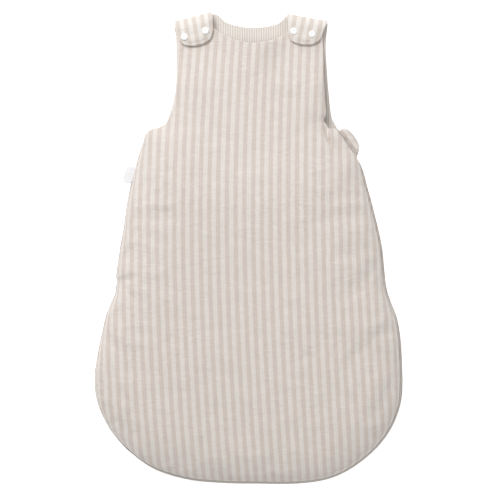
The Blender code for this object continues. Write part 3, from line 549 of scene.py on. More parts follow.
def gauze(name, light, dark, sharp=0.13, tone=None):
    """Muslin double gauze in soft stripes: uv x counts stripes, uv y counts the same length along them."""
    m, nt, b = new_material(name)
    k = Net(nt)
    u, v = k.uv()
    rest = k.rest()
    wander = k.noise(k.vec(k.math("MULTIPLY", u, 0.9), k.math("MULTIPLY", v, 2.3)), 1.0, 2.0)
    u2 = k.math("ADD", u, k.math("MULTIPLY", k.math("SUBTRACT", wander, 0.5), 0.10))
    wave = k.math("COSINE", k.math("MULTIPLY", u2, 2 * math.pi))
    frayed = k.noise(k.vec(k.math("MULTIPLY", u, 26.0), k.math("MULTIPLY", v, 9.0)), 1.0, 2.0)
    wave = k.math("ADD", wave, k.math("MULTIPLY", k.math("SUBTRACT", frayed, 0.5), 0.55))
    mask = k.ramp(wave, -sharp * 3.0, sharp * 3.0)
    # uneven yarns: some dark stripes carry a paler thread, some light ones a warm one
    stripe_id = k.math("ROUND", u)
    tint = k.noise(k.vec(k.math("MULTIPLY", stripe_id, 3.7), k.math("MULTIPLY", v, 0.35)), 1.0, 1.0)
    mask = k.math("ADD", k.math("MULTIPLY", mask, 0.90), k.math("MULTIPLY", tint, 0.10))
    colour = k.colour(mask, dark, light)
    warp = k.noise(k.vec(k.math("MULTIPLY", u, 34.0), k.math("MULTIPLY", v, 1.6)), 1.0, 1.0)
    weft = k.noise(k.vec(k.math("MULTIPLY", u, 1.9), k.math("MULTIPLY", v, 30.0)), 1.0, 1.0)
    cloud = k.noise(rest, 9.0, 2.0)
    crinkle_height_and_painted_shade = k.noise(k.vec(k.math("MULTIPLY", u, 1.15), k.math("MULTIPLY", v, 3.1)), 1.0, 3.0, 0.6)
    f = k.math("MULTIPLY_ADD", k.math("SUBTRACT", warp, 0.5), 0.09, 1.0)
    f = k.math("MULTIPLY_ADD", k.math("SUBTRACT", weft, 0.5), 0.06, f)
    streak = k.noise(k.vec(k.math("MULTIPLY", u, 7.5), k.math("MULTIPLY", v, 0.30), 5.1), 1.0, 1.0)
    f = k.math("MULTIPLY_ADD", k.math("SUBTRACT", streak, 0.5), 0.11, f)
    f = k.math("MULTIPLY_ADD", k.math("SUBTRACT", cloud, 0.5), 0.05, f)
    # painted shade: the crinkle's hollows are painted darker and its crests lighter, following the same crinkle the
    # bump below dents in
    f = k.math("MULTIPLY_ADD", k.math("SUBTRACT", crinkle_height_and_painted_shade, 0.5), 0.06, f)
    # thin ruck lines: dented by the bump further down, and also painted about 4.5% darker in the colour as painted
    # shade in the creases
    rucks = k.noise(k.vec(k.math("MULTIPLY", u, 0.85), k.math("MULTIPLY", v, 4.2), 3.3), 1.0, 3.0, 0.62)
    ruck_dents_and_painted_shade = k.ramp(k.math("ABSOLUTE", k.math("SUBTRACT", rucks, 0.5), 0.0), 0.0, 0.045)
    f = k.math("MULTIPLY", f, k.ramp(ruck_dents_and_painted_shade, 0.0, 1.0, 0.955, 1.0, "LINEAR"))
    if tone is not None:
        f = k.math("MULTIPLY", f, tone(k, rest))
    nt.links.new(k.scaled(colour, f), b.inputs["Base Color"])
    threads = k.math("MULTIPLY", k.math("SINE", k.math("MULTIPLY", u, 2 * math.pi * 19)), k.math("SINE", k.math("MULTIPLY", v, 2 * math.pi * 17)))
    grain = k.noise(k.vec(k.math("MULTIPLY", u, 14.0), k.math("MULTIPLY", v, 14.0)), 1.0, 2.0)
    n0 = k.bump(ruck_dents_and_painted_shade, 0.35, 0.0007)
    n1 = k.bump(crinkle_height_and_painted_shade, 0.55, 0.0014, n0)
    n2 = k.bump(grain, 0.45, 0.0006, n1)
    n3 = k.bump(threads, 0.25, 0.00012, n2)
    nt.links.new(n3, b.inputs["Normal"])
    nt.links.new(k.ramp(weft, 0.2, 0.8, 0.86, 0.96, "LINEAR"), b.inputs["Roughness"])
    b.inputs["Specular IOR Level"].default_value = 0.18
    b.inputs["Sheen Weight"].default_value = 0.12
    b.inputs["Sheen Roughness"].default_value = 0.6
    return m


def pinstripe(name, light, dark):
    """Fine striped jersey of the lining: uv x counts pinstripes."""
    m, nt, b = new_material(name)
    k = Net(nt)
    u, v = k.uv()
    rest = k.rest()
    wander = k.noise(k.vec(k.math("MULTIPLY", u, 0.5), k.math("MULTIPLY", v, 0.8)), 1.0, 2.0)
    wave = k.math("COSINE", k.math("MULTIPLY", k.math("ADD", u, k.math("MULTIPLY", wander, 0.12)), 2 * math.pi))
    mask = k.ramp(wave, -0.45, 0.35)
    knit = k.noise(k.vec(k.math("MULTIPLY", u, 7.0), k.math("MULTIPLY", v, 3.0)), 1.0, 2.0)
    cloud = k.noise(rest, 12.0, 2.0)
    f = k.math("MULTIPLY_ADD", k.math("SUBTRACT", knit, 0.5), 0.10, 1.0)
    f = k.math("MULTIPLY_ADD", k.math("SUBTRACT", cloud, 0.5), 0.05, f)
    nt.links.new(k.scaled(k.colour(mask, dark, light), f), b.inputs["Base Color"])
    loops = k.math("MULTIPLY", k.math("SINE", k.math("MULTIPLY", u, 2 * math.pi * 5)), k.math("SINE", k.math("MULTIPLY", v, 2 * math.pi * 5)))
    n1 = k.bump(wave, 0.5, 0.00025)
    n2 = k.bump(knit, 0.4, 0.0004, n1)
    n3 = k.bump(loops, 0.25, 0.0001, n2)
    nt.links.new(n3, b.inputs["Normal"])
    nt.links.new(k.ramp(knit, 0.2, 0.8, 0.86, 0.95, "LINEAR"), b.inputs["Roughness"])
    b.inputs["Specular IOR Level"].default_value = 0.18
    b.inputs["Sheen Weight"].default_value = 0.10
    return m


def woven_tape(name, colour, ribs, rough):
    """Ribbed narrow tape: uv in the tape's own length and width, in mm."""
    m, nt, b = new_material(name)
    k = Net(nt)
    u, v = k.uv()
    rib = k.math("SINE", k.math("MULTIPLY", u, 2 * math.pi * ribs))
    cross = k.math("SINE", k.math("MULTIPLY", v, 2 * math.pi * ribs * 0.6))
    speck = k.noise(k.vec(k.math("MULTIPLY", u, 2.0), k.math("MULTIPLY", v, 2.0)), 1.0, 2.0)
    f = k.math("MULTIPLY_ADD", rib, 0.035, 1.0)
    f = k.math("MULTIPLY_ADD", k.math("SUBTRACT", speck, 0.5), 0.10, f)
    nt.links.new(k.scaled(k.colour(speck, tuple(c * 0.94 for c in colour), colour), f), b.inputs["Base Color"])
    n1 = k.bump(k.math("MULTIPLY", rib, cross), 0.5, 0.00015)
    nt.links.new(k.bump(speck, 0.3, 0.0002, n1), b.inputs["Normal"])
    nt.links.new(k.ramp(speck, 0.2, 0.8, rough - 0.05, rough + 0.05, "LINEAR"), b.inputs["Roughness"])
    b.inputs["Specular IOR Level"].default_value = 0.3
    return m


def hard(name, colour, rough, metallic=0.0, coat=0.0, scale=220.0, amount=0.06, bump=0.00004):
    """Moulded plastic or plated metal with faint marks of making and handling."""
    m, nt, b = new_material(name)
    k = Net(nt)
    rest = k.rest()
    marks = k.noise(rest, scale, 3.0, 0.6)
    wear = k.noise(rest, scale * 0.3, 2.0)
    f = k.math("MULTIPLY_ADD", k.math("SUBTRACT", wear, 0.5), amount, 1.0)
    nt.links.new(k.scaled(k.colour(marks, tuple(c * 0.96 for c in colour), colour), f), b.inputs["Base Color"])
    nt.links.new(k.ramp(wear, 0.25, 0.75, rough * 0.8, rough * 1.25, "LINEAR"), b.inputs["Roughness"])
    nt.links.new(k.bump(marks, 0.3, bump), b.inputs["Normal"])
    b.inputs["Metallic"].default_value = metallic
    if coat:
        b.inputs["Coat Weight"].default_value = coat
        b.inputs["Coat Roughness"].default_value = 0.15
    return m


CLOTH = gauze("striped_gauze_cloth", (0.800, 0.744, 0.698), (0.684, 0.604, 0.548))
# painted light: the straps are the same striped gauze as the bag, given paler colours so they read as more brightly lit
STRAP_CLOTH_PAINTED_LIGHTER = gauze("striped_gauze_straps_painted_lighter", (0.870, 0.825, 0.780), (0.730, 0.655, 0.590))
LINING = pinstripe("pinstripe_lining", (0.835, 0.800, 0.760), (0.700, 0.622, 0.560))
TAPE = woven_tape("zip_tape_weave", linear(226, 222, 217), 0.9, 0.85)
COIL = hard("zip_coil_nylon", linear(228, 224, 218), 0.38, amount=0.05)
METAL = hard("zip_nickel", (0.72, 0.72, 0.73), 0.24, metallic=1.0, amount=0.10)
SNAP = hard("snap_resin", linear(252, 252, 251), 0.22, coat=0.35, amount=0.03)
LABEL = woven_tape("label_satin", linear(250, 249, 252), 2.2, 0.55)
THREAD = woven_tape("sewing_thread", linear(238, 230, 222), 2.0, 0.7)


# ---------------------------------------------------------------- cloth simulation of a padded panel, run for the front panel
def simulated(loop, spacing, surface, frames=20, pressure=4.0, grow=0.045, cap=6.0, keep_swell=0.3):
    """The outer cloth of a padded panel, cut slightly larger than its place and swollen by the wadding.
    Returns a function that gives, at plan points, how far the cloth settles out of its place, in mm."""
    verts, tris = plan_of(loop[::2], spacing, [3.5, 8.0])
    d, high, inner = surface(verts)
    n = len(verts)
    v3 = np.vstack([np.column_stack([verts, high]), np.column_stack([verts, np.minimum(inner, high - 0.6)])]) * MM
    faces = [tuple(t) for t in tris] + [(a + n, c + n, b + n) for a, b, c in tris]
    e = np.vstack([tris[:, [0, 1]], tris[:, [1, 2]], tris[:, [2, 0]]])
    have = set((int(a), int(b)) for a, b in e)
    faces += [(a, a + n, b + n, b) for a, b in have if (b, a) not in have]
    me = bpy.data.meshes.new("settling")
    me.from_pydata(v3.tolist(), [], [tuple(int(i) for i in f) for f in faces])
    me.update()
    o = bpy.data.objects.new("settling", me)
    scene.collection.objects.link(o)
    held = o.vertex_groups.new(name="held")
    held.add([int(i) for i in range(n, 2 * n)] + [int(i) for i in np.nonzero(d < 3.0)[0]], 1.0, "REPLACE")
    c = o.modifiers.new("settle", "CLOTH")
    s = c.settings
    s.quality = 6
    s.mass = 0.2
    s.tension_stiffness = s.compression_stiffness = 12.0
    s.shear_stiffness = 4.0
    s.bending_stiffness = 0.25
    s.air_damping = 3.0
    s.vertex_group_mass = "held"
    s.pin_stiffness = 1.0
    s.use_pressure = True
    s.uniform_pressure_force = pressure
    s.shrink_min = -grow
    s.effector_weights.gravity = 0.0
    c.collision_settings.use_collision = False
    c.point_cache.frame_start, c.point_cache.frame_end = 1, frames
    for f in range(1, frames + 1):
        scene.frame_set(f)
    dg = bpy.context.evaluated_depsgraph_get()
    ev = o.evaluated_get(dg)
    got = ev.to_mesh()
    co = np.zeros(len(got.vertices) * 3, np.float32)
    got.vertices.foreach_get("co", co)
    ev.to_mesh_clear()
    move = (co.reshape(-1, 3)[:n] - v3[:n]) / MM
    bpy.data.objects.remove(o, do_unlink=True)
    bpy.data.meshes.remove(me)
    scene.frame_set(1)
    if not np.isfinite(move).all() or np.abs(move).max() < 1e-4:
        print("settling: no movement")
        return lambda p: np.zeros((len(p), 3))
    # an even field of the movement, so that any fine mesh can take it
    lo, hi = verts.min(0) - 6, verts.max(0) + 6
    cell = 4.0
    nx, ny = (np.ceil((hi - lo) / cell)).astype(int) + 1
    tree = KDTree(n)
    for i, (x, y) in enumerate(verts):
        tree.insert((x, y, 0.0), i)
    tree.balance()
    field = np.zeros((nx, ny, 3))
    for i in range(nx):
        for j in range(ny):
            near = tree.find_n((lo[0] + i * cell, lo[1] + j * cell, 0.0), 4)
            w = np.array([1.0 / (q[2] ** 2 + 2.0) for q in near])
            field[i, j] = (w[:, None] * move[[q[1] for q in near]]).sum(0) / w.sum()
    soft = field.copy()
    for _ in range(30):
        pad = np.pad(soft, ((1, 1), (1, 1), (0, 0)), mode="edge")
        soft = (pad[2:, 1:-1] + pad[:-2, 1:-1] + pad[1:-1, 2:] + pad[1:-1, :-2] + 2 * soft) / 6.0
    field = keep_swell * soft + (field - soft)
    size = np.linalg.norm(field, axis=2, keepdims=True)
    field *= np.minimum(1.0, cap / np.maximum(size, 1e-9))
    print("settling: moved", np.round(np.abs(move).max(0), 2), "kept rms", np.round(np.sqrt((field ** 2).mean((0, 1))), 2))

    def at(p):
        g = (np.asarray(p) - lo) / cell
        gx, gy = np.clip(g[:, 0], 0, nx - 1.001), np.clip(g[:, 1], 0, ny - 1.001)
        i, j = gx.astype(int), gy.astype(int)
        fx, fy = (gx - i)[:, None], (gy - j)[:, None]
        return mix(mix(field[i, j], field[i + 1, j], fx), mix(field[i, j + 1], field[i + 1, j + 1], fx), fy)

    return at


def still(p):
    return np.zeros((len(p), 3))


front_settle = back_settle = still
front_settle = simulated(FRONT_LOOP, 7.5, lambda p: front_surfaces(p, np.zeros(len(p)))[:3])

# ---------------------------------------------------------------- front panel
DEPTHS = [0.25, 0.8, 1.7, 2.9, 4.4, 6.4, 9.0, 12.4]
ARM_FOLD = np.array(spline([(113.4, 185.0), (115.0, 174.0), (117.2, 160.0), (121.5, 142.0)], 1.8))
_t = np.gradient(ARM_FOLD, axis=0)
_t /= np.linalg.norm(_t, axis=1)[:, None]
_side = np.stack([_t[:, 1], -_t[:, 0]], 1)
if _side[0, 0] < 0:
    _side = -_side
plan = plan_of(FRONT_LOOP, 4.2, DEPTHS, np.vstack([ARM_FOLD + _side * q for q in (-3.2, -1.7, -0.8, 0.0, 0.8, 1.7, 3.4, 6.0)]))
p = plan[0]
d = distance(FRONT_LOOP, p)
extra = wrinkles(p, d)
# the furrow by the closed seam, where the zip's end on the far side draws the cloth in, and the swellings around it
extra -= groove(p, (-201, -50), (-160, -43), 3.2, 5.0)
extra -= groove(p, (-200, -53), (-172, -66), 3.0, 3.0)
extra += 2.0 * np.exp(-(((p[:, 0] + 188) / 14) ** 2 + ((p[:, 1] + 33) / 11) ** 2)) + 1.6 * np.exp(-(((p[:, 0] + 190) / 14) ** 2 + ((p[:, 1] + 68) / 11) ** 2))
# the fold that runs down from the right armhole
_far = ((p[:, None, :] - ARM_FOLD[None]) ** 2).sum(2)
_at = _far.argmin(1)
_off = ((p - ARM_FOLD[_at]) * _side[_at]).sum(1)
_run = _at / (len(ARM_FOLD) - 1.0)
_near = np.sqrt(_far.min(1))
fade = (1 - smooth(0.55, 1.0, _run)) * (1 - smooth(16.0, 24.0, _near))
extra -= 8.0 * np.exp(-(_near / 1.7) ** 2) * fade
extra += 3.4 * np.exp(-((_off - 5.5) / 3.2) ** 2) * np.exp(-(np.maximum(0.0, _near - 6.5) / 3.0) ** 2) * fade
extra -= 1.2 * np.exp(-((d - 4.2) / 0.9) ** 2) * smooth(165, 185, p[:, 1])
settle = front_settle(p) * (0.55 - 0.35 * smooth(70, 140, p[:, 1]) - 0.28 * (1 - smooth(-330, -240, p[:, 1])))[:, None]
extra += (1.0 + 0.9 * smooth(60, -60, p[:, 0]) * smooth(-150, -230, p[:, 1])) * gathers(FRONT_LOOP, p, d, 61)
ease = smooth(1.0, 14.0, d) * (1 - 0.9 * pressed(p))
for c in list(LEFT_SNAPS.values()) + list(RIGHT_SNAPS.values()):
    r = np.linalg.norm(p - np.array(c), axis=1)
    extra *= smooth(6, 12, r)
    ease *= smooth(6, 12, r)
d, high, inner, lining_high, lining_low = front_surfaces(p, extra + settle[:, 2] * ease)
took = taken_up(FRONT_LOOP, lambda q: front_surfaces(q, np.zeros(len(q)))[1])
uv = np.column_stack([stripe_phase(p) + took(p), p[:, 1] / STRIPE])
sideways = np.column_stack([settle[:, :2] * ease[:, None] * 0.6, np.zeros(len(p))])
tuck = along_edge(FRONT_LOOP, p)[1] * ((0.5 + 0.5 * zip_share(p)) * (1 - smooth(2.0, 9.0, d)) * (1 - smooth(120, 150, p[:, 1])))[:, None]
tuck = np.column_stack([tuck, np.zeros(len(p))])
front = layer("front_cloth", plan, inner, high, uv, CLOTH, outward=(sideways + tuck, tuck))
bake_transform(front)
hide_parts("front_shell", "front_wadding", "flap_shell", "flap_wadding")

lining_loop = FRONT_LOOP.copy()
nxt, prv = np.roll(lining_loop, -1, axis=0), np.roll(lining_loop, 1, axis=0)
t = (nxt - prv) / np.linalg.norm(nxt - prv, axis=1)[:, None]
closed_side = (1 - zip_share(lining_loop)) * (1 - smooth(152, 172, lining_loop[:, 1]))
lining_loop = lining_loop + np.stack([-t[:, 1], t[:, 0]], 1) * (1.8 + 2.2 * closed_side)[:, None]
plan = plan_of(lining_loop[::2], 8.0, [1.2, 3.0, 6.0, 10.0, 15.0, 20.5])
p = plan[0]
d = distance(FRONT_LOOP, p)
extra = 0.8 * wrinkles(p, d)
d, high, inner, lining_high, lining_low = front_surfaces(p, extra)
uv = np.column_stack([p[:, 0] / PINSTRIPE, p[:, 1] / PINSTRIPE])
front_lining = layer("front_lining_cloth", plan, lining_low, lining_high, uv, LINING)
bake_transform(front_lining)
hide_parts("front_lining", "flap_lining")

# ---------------------------------------------------------------- back panel
back_loop = BACK_LOOP.copy()
for a, b in (LEFT_CREASE, RIGHT_CREASE):
    a, b = np.array(a), np.array(b)
    along = (b - a) / np.linalg.norm(b - a)
    away = np.array([-along[1], along[0]])
    over = (back_loop - a) @ away
    near = ((back_loop - a) @ along > -6) & ((back_loop - a) @ along < np.linalg.norm(b - a) + 6) & (over > -2.6)
    back_loop[near] -= np.outer(over[near] + 2.6, away)
keep = np.linalg.norm(np.roll(back_loop, -1, axis=0) - back_loop, axis=1) > 0.8
back_loop = back_loop[keep]
plan = plan_of(back_loop, 5.0, DEPTHS)
p = plan[0]
d = distance(BACK_LOOP, p)
d, outer, inner, lining_high, lining_low = back_surfaces(p, wrinkles(p[:, ::-1] * (1, -1) + 40, d) + gathers(BACK_LOOP, p, d, 67))
took = taken_up(BACK_LOOP, lambda q: back_surfaces(q, np.zeros(len(q)))[1])
uv = np.column_stack([stripe_phase(p) + 0.5 + took(p), p[:, 1] / STRIPE])
proud = -along_edge(BACK_LOOP, p)[1] * (1.1 * zip_share(p) * (1 - smooth(1.0, 7.0, d)) * (1 - smooth(110, 140, p[:, 1])))[:, None]
proud = np.column_stack([proud, np.zeros(len(p))])
back = layer("back_cloth", plan, outer, inner, uv, CLOTH, outward=(proud, proud))
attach(back, "bag")
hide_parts("back_shell", "back_wadding")

nxt, prv = np.roll(back_loop, -1, axis=0), np.roll(back_loop, 1, axis=0)
t = (nxt - prv) / np.linalg.norm(nxt - prv, axis=1)[:, None]
closed_side = (1 - zip_share(back_loop)) * (1 - smooth(152, 172, back_loop[:, 1]))
lining_loop = back_loop + np.stack([-t[:, 1], t[:, 0]], 1) * (0.5 + 3.5 * closed_side)[:, None]
plan = plan_of(lining_loop, 6.5, [1.2, 3.0, 6.0])
p = plan[0]
d = distance(BACK_LOOP, p)
d, outer, inner, lining_high, lining_low = back_surfaces(p, wrinkles(p + 90, d))
uv = np.column_stack([p[:, 0] / PINSTRIPE, p[:, 1] / PINSTRIPE])
back_lining = layer("back_lining_cloth", plan, lining_low, lining_high, uv, LINING)
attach(back_lining, "bag")
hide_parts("back_lining")


# ---------------------------------------------------------------- shoulder straps
def strap(side, points, crease, snaps, phase, overhang):
    a, b = np.array(crease[0]), np.array(crease[1])
    width = np.linalg.norm(b - a)
    along = (b - a) / width
    away = np.array([-along[1], along[0]])
    body = f"{side}_strap"
    curve = np.array(spline(points, 2.0))
    loop = outline([points, [points[-1], points[0]]], 2.0)
    start = (*(0.5 * (a + b) * MM), 0.0015)
    end = (*(0.5 * (a + b) * MM), 0.020)

    def heights(p):
        inward = np.maximum(0.0, -((p - a) @ away))
        e = distance(curve, p, closed=False)
        low = FOLD_Z + 0.3 + (STRAP_LOW - FOLD_Z - 0.3) * np.sin(0.5 * math.pi * np.clip(inward / STRAP_RISE, 0, 1))
        plump = 0.9 * smooth(2, 12, e) + 0.35 * medium(p[:, 0] / 9 + 3, p[:, 1] / 7) * smooth(3, 9, e)
        for c in snaps.values():
            r = np.linalg.norm(p - np.array(c), axis=1)
            plump *= smooth(4.5, 12, r)
        droop = 2.7 * (1 - smooth(0, 9, e)) * smooth(9, 18, inward)
        crown = 6.5 + (STRAP_LOW + STRAP_T - 6.5) * rounded(inward / 17.0) + plump * smooth(3, 12, inward)
        middle = mix(6.5, 0.5 * (crown + low), smooth(0, 5, inward)) - droop
        nose = rounded(e / 2.7)
        under = np.where(inward < 2.4, 6.5 - 5.3 * rounded(inward / 2.2), low + 1.3)
        top = middle + (crown - droop - middle) * nose + 0.15 * (1 - nose)
        bottom = middle + (under - droop - middle) * nose - 0.15 * (1 - nose)
        seam = middle - 0.45
        lining_top = seam + (low + 1.0 - droop - seam) * nose + 0.12 * (1 - nose)
        lining_low = seam + (low - droop - seam) * nose - 0.12 * (1 - nose)
        groove_at = 0.55 * np.exp(-((e - 3.4) / 0.7) ** 2) * smooth(4, 8, inward)
        return top - groove_at, np.minimum(bottom, top - 0.25), lining_top, lining_low

    plan = plan_of(loop, 2.6, [0.3, 0.8, 1.5, 2.2, 2.8, 3.6, 4.8])
    p = plan[0]
    top, bottom, _, _ = heights(p)
    s, run = (p - a) @ along, -((p - a) @ away)
    uv = np.column_stack([phase[0] + p @ np.array(phase[1:]), run / STRIPE])
    # the turned cloth stands a little proud of the crease
    proud = np.zeros((len(p), 3))
    proud[:, :2] = away * (overhang * (1 - smooth(0, 9, run)))[:, None]
    # the straps' outer cloth takes the paler copy of the gauze, which is painted light
    cloth = layer(f"{side}_strap_cloth", plan, bottom, top, uv, STRAP_CLOTH_PAINTED_LIGHTER, outward=(proud, proud))
    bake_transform(cloth)
    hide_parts(f"{side}_strap_shell", f"{side}_strap_wadding")

    run_loop = -((loop - a) @ away)
    inner_loop = loop.copy()
    inner_loop[run_loop < 3.0] -= np.outer(3.0 - run_loop[run_loop < 3.0], away)
    nxt, prv = np.roll(inner_loop, -1, axis=0), np.roll(inner_loop, 1, axis=0)
    t = nxt - prv
    t /= np.maximum(np.linalg.norm(t, axis=1), 1e-9)[:, None]
    turn = 1.0 if np.sum(inner_loop[:, 0] * np.roll(inner_loop[:, 1], -1) - np.roll(inner_loop[:, 0], -1) * inner_loop[:, 1]) > 0 else -1.0
    inner_loop = inner_loop + turn * np.stack([-t[:, 1], t[:, 0]], 1) * 0.45
    inner_loop = inner_loop[np.linalg.norm(np.roll(inner_loop, -1, axis=0) - inner_loop, axis=1) > 0.5]
    plan = plan_of(inner_loop, 3.6, [1.0, 2.4])
    p = plan[0]
    _, _, lining_top, lining_low = heights(p)
    s, run = (p - a) @ along, -((p - a) @ away)
    uv = np.column_stack([s / PINSTRIPE, run / PINSTRIPE])
    lining = layer(f"{side}_strap_lining_cloth", plan, lining_low, lining_top, uv, LINING)
    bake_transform(lining)
    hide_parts(f"{side}_strap_lining")

    # the row of stitches that holds the strap's turned edge
    e_line = inset_toward(spline(points, 1.0), 3.4, turn_of(points))
    stitches(f"{side}_strap_topstitch", e_line, lambda q: heights(q)[0] + 0.05, blend=("bag", body, start, end),
             use=lambda q: -((q - a) @ away) > 7.0)


def turn_of(points):
    q = np.array(points, float)
    return 1.0 if np.sum(q[:, 0] * np.roll(q[:, 1], -1) - np.roll(q[:, 0], -1) * q[:, 1]) > 0 else -1.0


def stitches(name, line, height, blend=None, ride=None, use=None, length=2.3, gap=0.7, radius=0.24):
    """A row of machine stitches lying on the cloth along a plan line."""
    line = np.array(line)
    run = np.concatenate([[0], np.cumsum(np.linalg.norm(np.diff(line, axis=0), axis=1))])
    verts, faces, uvs = [], [], []
    s = 1.0
    sides, rows = 6, (0.0, 0.18, 0.5, 0.82, 1.0)
    while s + length < run[-1] - 1.0:
        at = [np.array([np.interp(s + length * t, run, line[:, 0]), np.interp(s + length * t, run, line[:, 1])]) for t in rows]
        if use is None or use(np.array(at)).all():
            z = height(np.array(at))
            axis = at[-1] - at[0]
            axis = axis / np.linalg.norm(axis)
            across = np.array([-axis[1], axis[0]])
            base = len(verts)
            for t, q, h in zip(rows, at, z):
                rise = radius * 0.5 * math.sin(math.pi * t) - 0.22 * (1 - math.sin(math.pi * t))
                rr = radius * (0.55 + 0.45 * math.sin(math.pi * t))
                for k in range(sides):
                    w = 2 * math.pi * k / sides
                    verts.append((q[0] + across[0] * rr * math.cos(w), q[1] + across[1] * rr * math.cos(w), h + rise + rr * math.sin(w)))
                    uvs.append((s + length * t, k / sides))
            m = len(rows)
            for i in range(m - 1):
                for k in range(sides):
                    j = (k + 1) % sides
                    faces.append((base + i * sides + k, base + (i + 1) * sides + k, base + (i + 1) * sides + j, base + i * sides + j))
            faces.append(tuple(base + k for k in range(sides)))
            faces.append(tuple(base + (m - 1) * sides + k for k in range(sides))[::-1])
        s += length + gap
    o = mesh_object(name, verts, faces, uvs, THREAD)
    flip_if_inside_out(o)
    if blend:
        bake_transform(o)
    else:
        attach(o, ride)
    return o


def flip_if_inside_out(o):
    me = o.data
    me.calc_loop_triangles()
    co = np.zeros(len(me.vertices) * 3)
    me.vertices.foreach_get("co", co)
    co = co.reshape(-1, 3)
    tri = np.zeros(len(me.loop_triangles) * 3, np.int32)
    me.loop_triangles.foreach_get("vertices", tri)
    a, b, c = (co[tri.reshape(-1, 3)[:, i]] for i in range(3))
    if (a * np.cross(b, c)).sum() < 0:
        me.flip_normals()


strap("left", STRAP_LEFT, LEFT_CREASE, LEFT_SNAPS, (24.208, 0.08018, 0.01417), 1.7)
strap("right", STRAP_RIGHT, RIGHT_CREASE, RIGHT_SNAPS, (33.762, 0.07596, -0.01615), 1.5)


# ---------------------------------------------------------------- snap fasteners
def lathe(name, centre, profile, mat, sides=40):
    """A turned piece about a vertical line; profile runs (radius, z), closed on the axis or on itself."""
    cx, cy = centre
    verts, rows, uv = [], [], []
    for i, (r, z) in enumerate(profile):
        if r < 1e-6:
            rows.append([len(verts)] * sides)
            verts.append((cx, cy, z))
            uv.append((0, i))
        else:
            rows.append(list(range(len(verts), len(verts) + sides)))
            verts.extend((cx + r * math.cos(2 * math.pi * k / sides), cy + r * math.sin(2 * math.pi * k / sides), z) for k in range(sides))
            uv.extend((k, i) for k in range(sides))
    faces = []
    for i in range(len(rows)):
        a, b = rows[i], rows[(i + 1) % len(rows)]
        if a[0] == a[1] and b[0] == b[1]:
            continue
        for k in range(sides):
            j = (k + 1) % sides
            g = []
            for q in (a[k], a[j], b[j], b[k]):
                if q not in g:
                    g.append(q)
            faces.append(tuple(g))
    o = mesh_object(name, verts, faces, uv, mat, smooth_angle=40)
    flip_if_inside_out(o)
    return o


for side, snaps in (("left", LEFT_SNAPS), ("right", RIGHT_SNAPS)):
    for where, c in snaps.items():
        z = STRAP_LOW + STRAP_T + 0.05
        cap = lathe(f"{side}_{where}_snap_cap_moulded", c, [
            (0, z + 1.35), (0.55, z + 1.38), (1.0, z + 1.55), (1.35, z + 1.85), (1.9, z + 2.08), (2.7, z + 2.2), (3.6, z + 2.15), (4.4, z + 1.9),
            (5.0, z + 1.45), (5.35, z + 0.9), (5.4, z + 0.45), (5.25, z + 0.12), (4.9, z), (PRONG_R, z - 0.1), (PRONG_R, STRAP_LOW - 1.0),
            (PRONG_R * 0.6, STRAP_LOW - 1.4), (0, STRAP_LOW - 1.5)], SNAP)
        z = STRAP_LOW - 0.3
        socket = lathe(f"{side}_{where}_snap_socket_moulded", c, [
            (PRONG_R + 0.3, z), (4.5, z), (4.85, z - 0.15), (4.95, z - 0.5), (4.75, z - 0.8), (4.2, z - 0.95), (3.7, z - 1.1), (3.5, z - 1.5),
            (3.45, z - 2.1), (3.2, z - 2.3), (2.8, z - 2.3), (2.55, z - 2.1), (2.5, z - 1.2), (2.4, z - 0.7), (PRONG_R + 0.3, z - 0.65)], SNAP)
        z = LOFT_TAB + 0.3
        stud = lathe(f"{side}_{where}_snap_stud_moulded", c, [
            (PRONG_R + 0.25, z), (4.4, z), (4.75, z + 0.15), (4.8, z + 0.4), (4.5, z + 0.7), (3.2, z + 0.8), (2.3, z + 0.95), (2.05, z + 1.2),
            (2.15, z + 1.6), (2.1, z + 1.95), (1.8, z + 2.1), (PRONG_R + 0.25, z + 2.1)], SNAP)
        z = LOFT_TAB - TAB_T - 0.35
        stud_back = lathe(f"{side}_{where}_snap_stud_back_moulded", c, [
            (0, z - 1.25), (1.2, z - 1.3), (3.6, z - 1.25), (4.7, z - 1.0), (5.25, z - 0.6), (5.35, z - 0.25), (5.1, z), (PRONG_R, z),
            (PRONG_R, LOFT_TAB + 1.5), (0, LOFT_TAB + 1.7)], SNAP)
        for o, kind, body in ((cap, "cap", f"{side}_strap"), (socket, "socket", f"{side}_strap"), (stud, "stud", "bag"), (stud_back, "stud_back", "bag")):
            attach(o, body)
            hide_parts(f"{side}_{where}_snap_{kind}")

# ---------------------------------------------------------------- zip
zd = ZIP_DIR / np.linalg.norm(ZIP_DIR)
zo = np.array([-zd[1], zd[0]])


def zip_line(step):
    """Points from the zip's top to its end; outward is to the left of travel."""
    straight = [ZIP_TOP + zd * s for s in np.linspace(0, ZIP_STRAIGHT, 5)]
    hem = list(spline(SIDE_RIGHT, 8.0)[::-1]) + list(spline(HEM, 8.0)[::-1])[1:]
    hem = inset_toward(hem, ZIP_INSET, -1.0)
    return np.array(spline(straight + [q for q in hem if q[1] < -48.0 and not (q[0] < -172.0)], step))


line = zip_line(1.0)
run = np.concatenate([[0], np.cumsum(np.linalg.norm(np.diff(line, axis=0), axis=1))])
ZIP_LEN = float(run[-1])
ZIP_SPLIT = float(run[np.argmax((line - FLAP_FROM) @ FOLD_SIDE > 0)])


def along_zip(s):
    s = np.asarray(s, float)
    q = np.column_stack([np.interp(s, run, line[:, 0]), np.interp(s, run, line[:, 1])])
    e = np.column_stack([np.interp(s + 1.5, run, line[:, 0]), np.interp(s + 1.5, run, line[:, 1])])
    f = np.column_stack([np.interp(s - 1.5, run, line[:, 0]), np.interp(s - 1.5, run, line[:, 1])])
    t = e - f
    t /= np.maximum(np.linalg.norm(t, axis=1), 1e-9)[:, None]
    return q, t, np.column_stack([-t[:, 1], t[:, 0]])


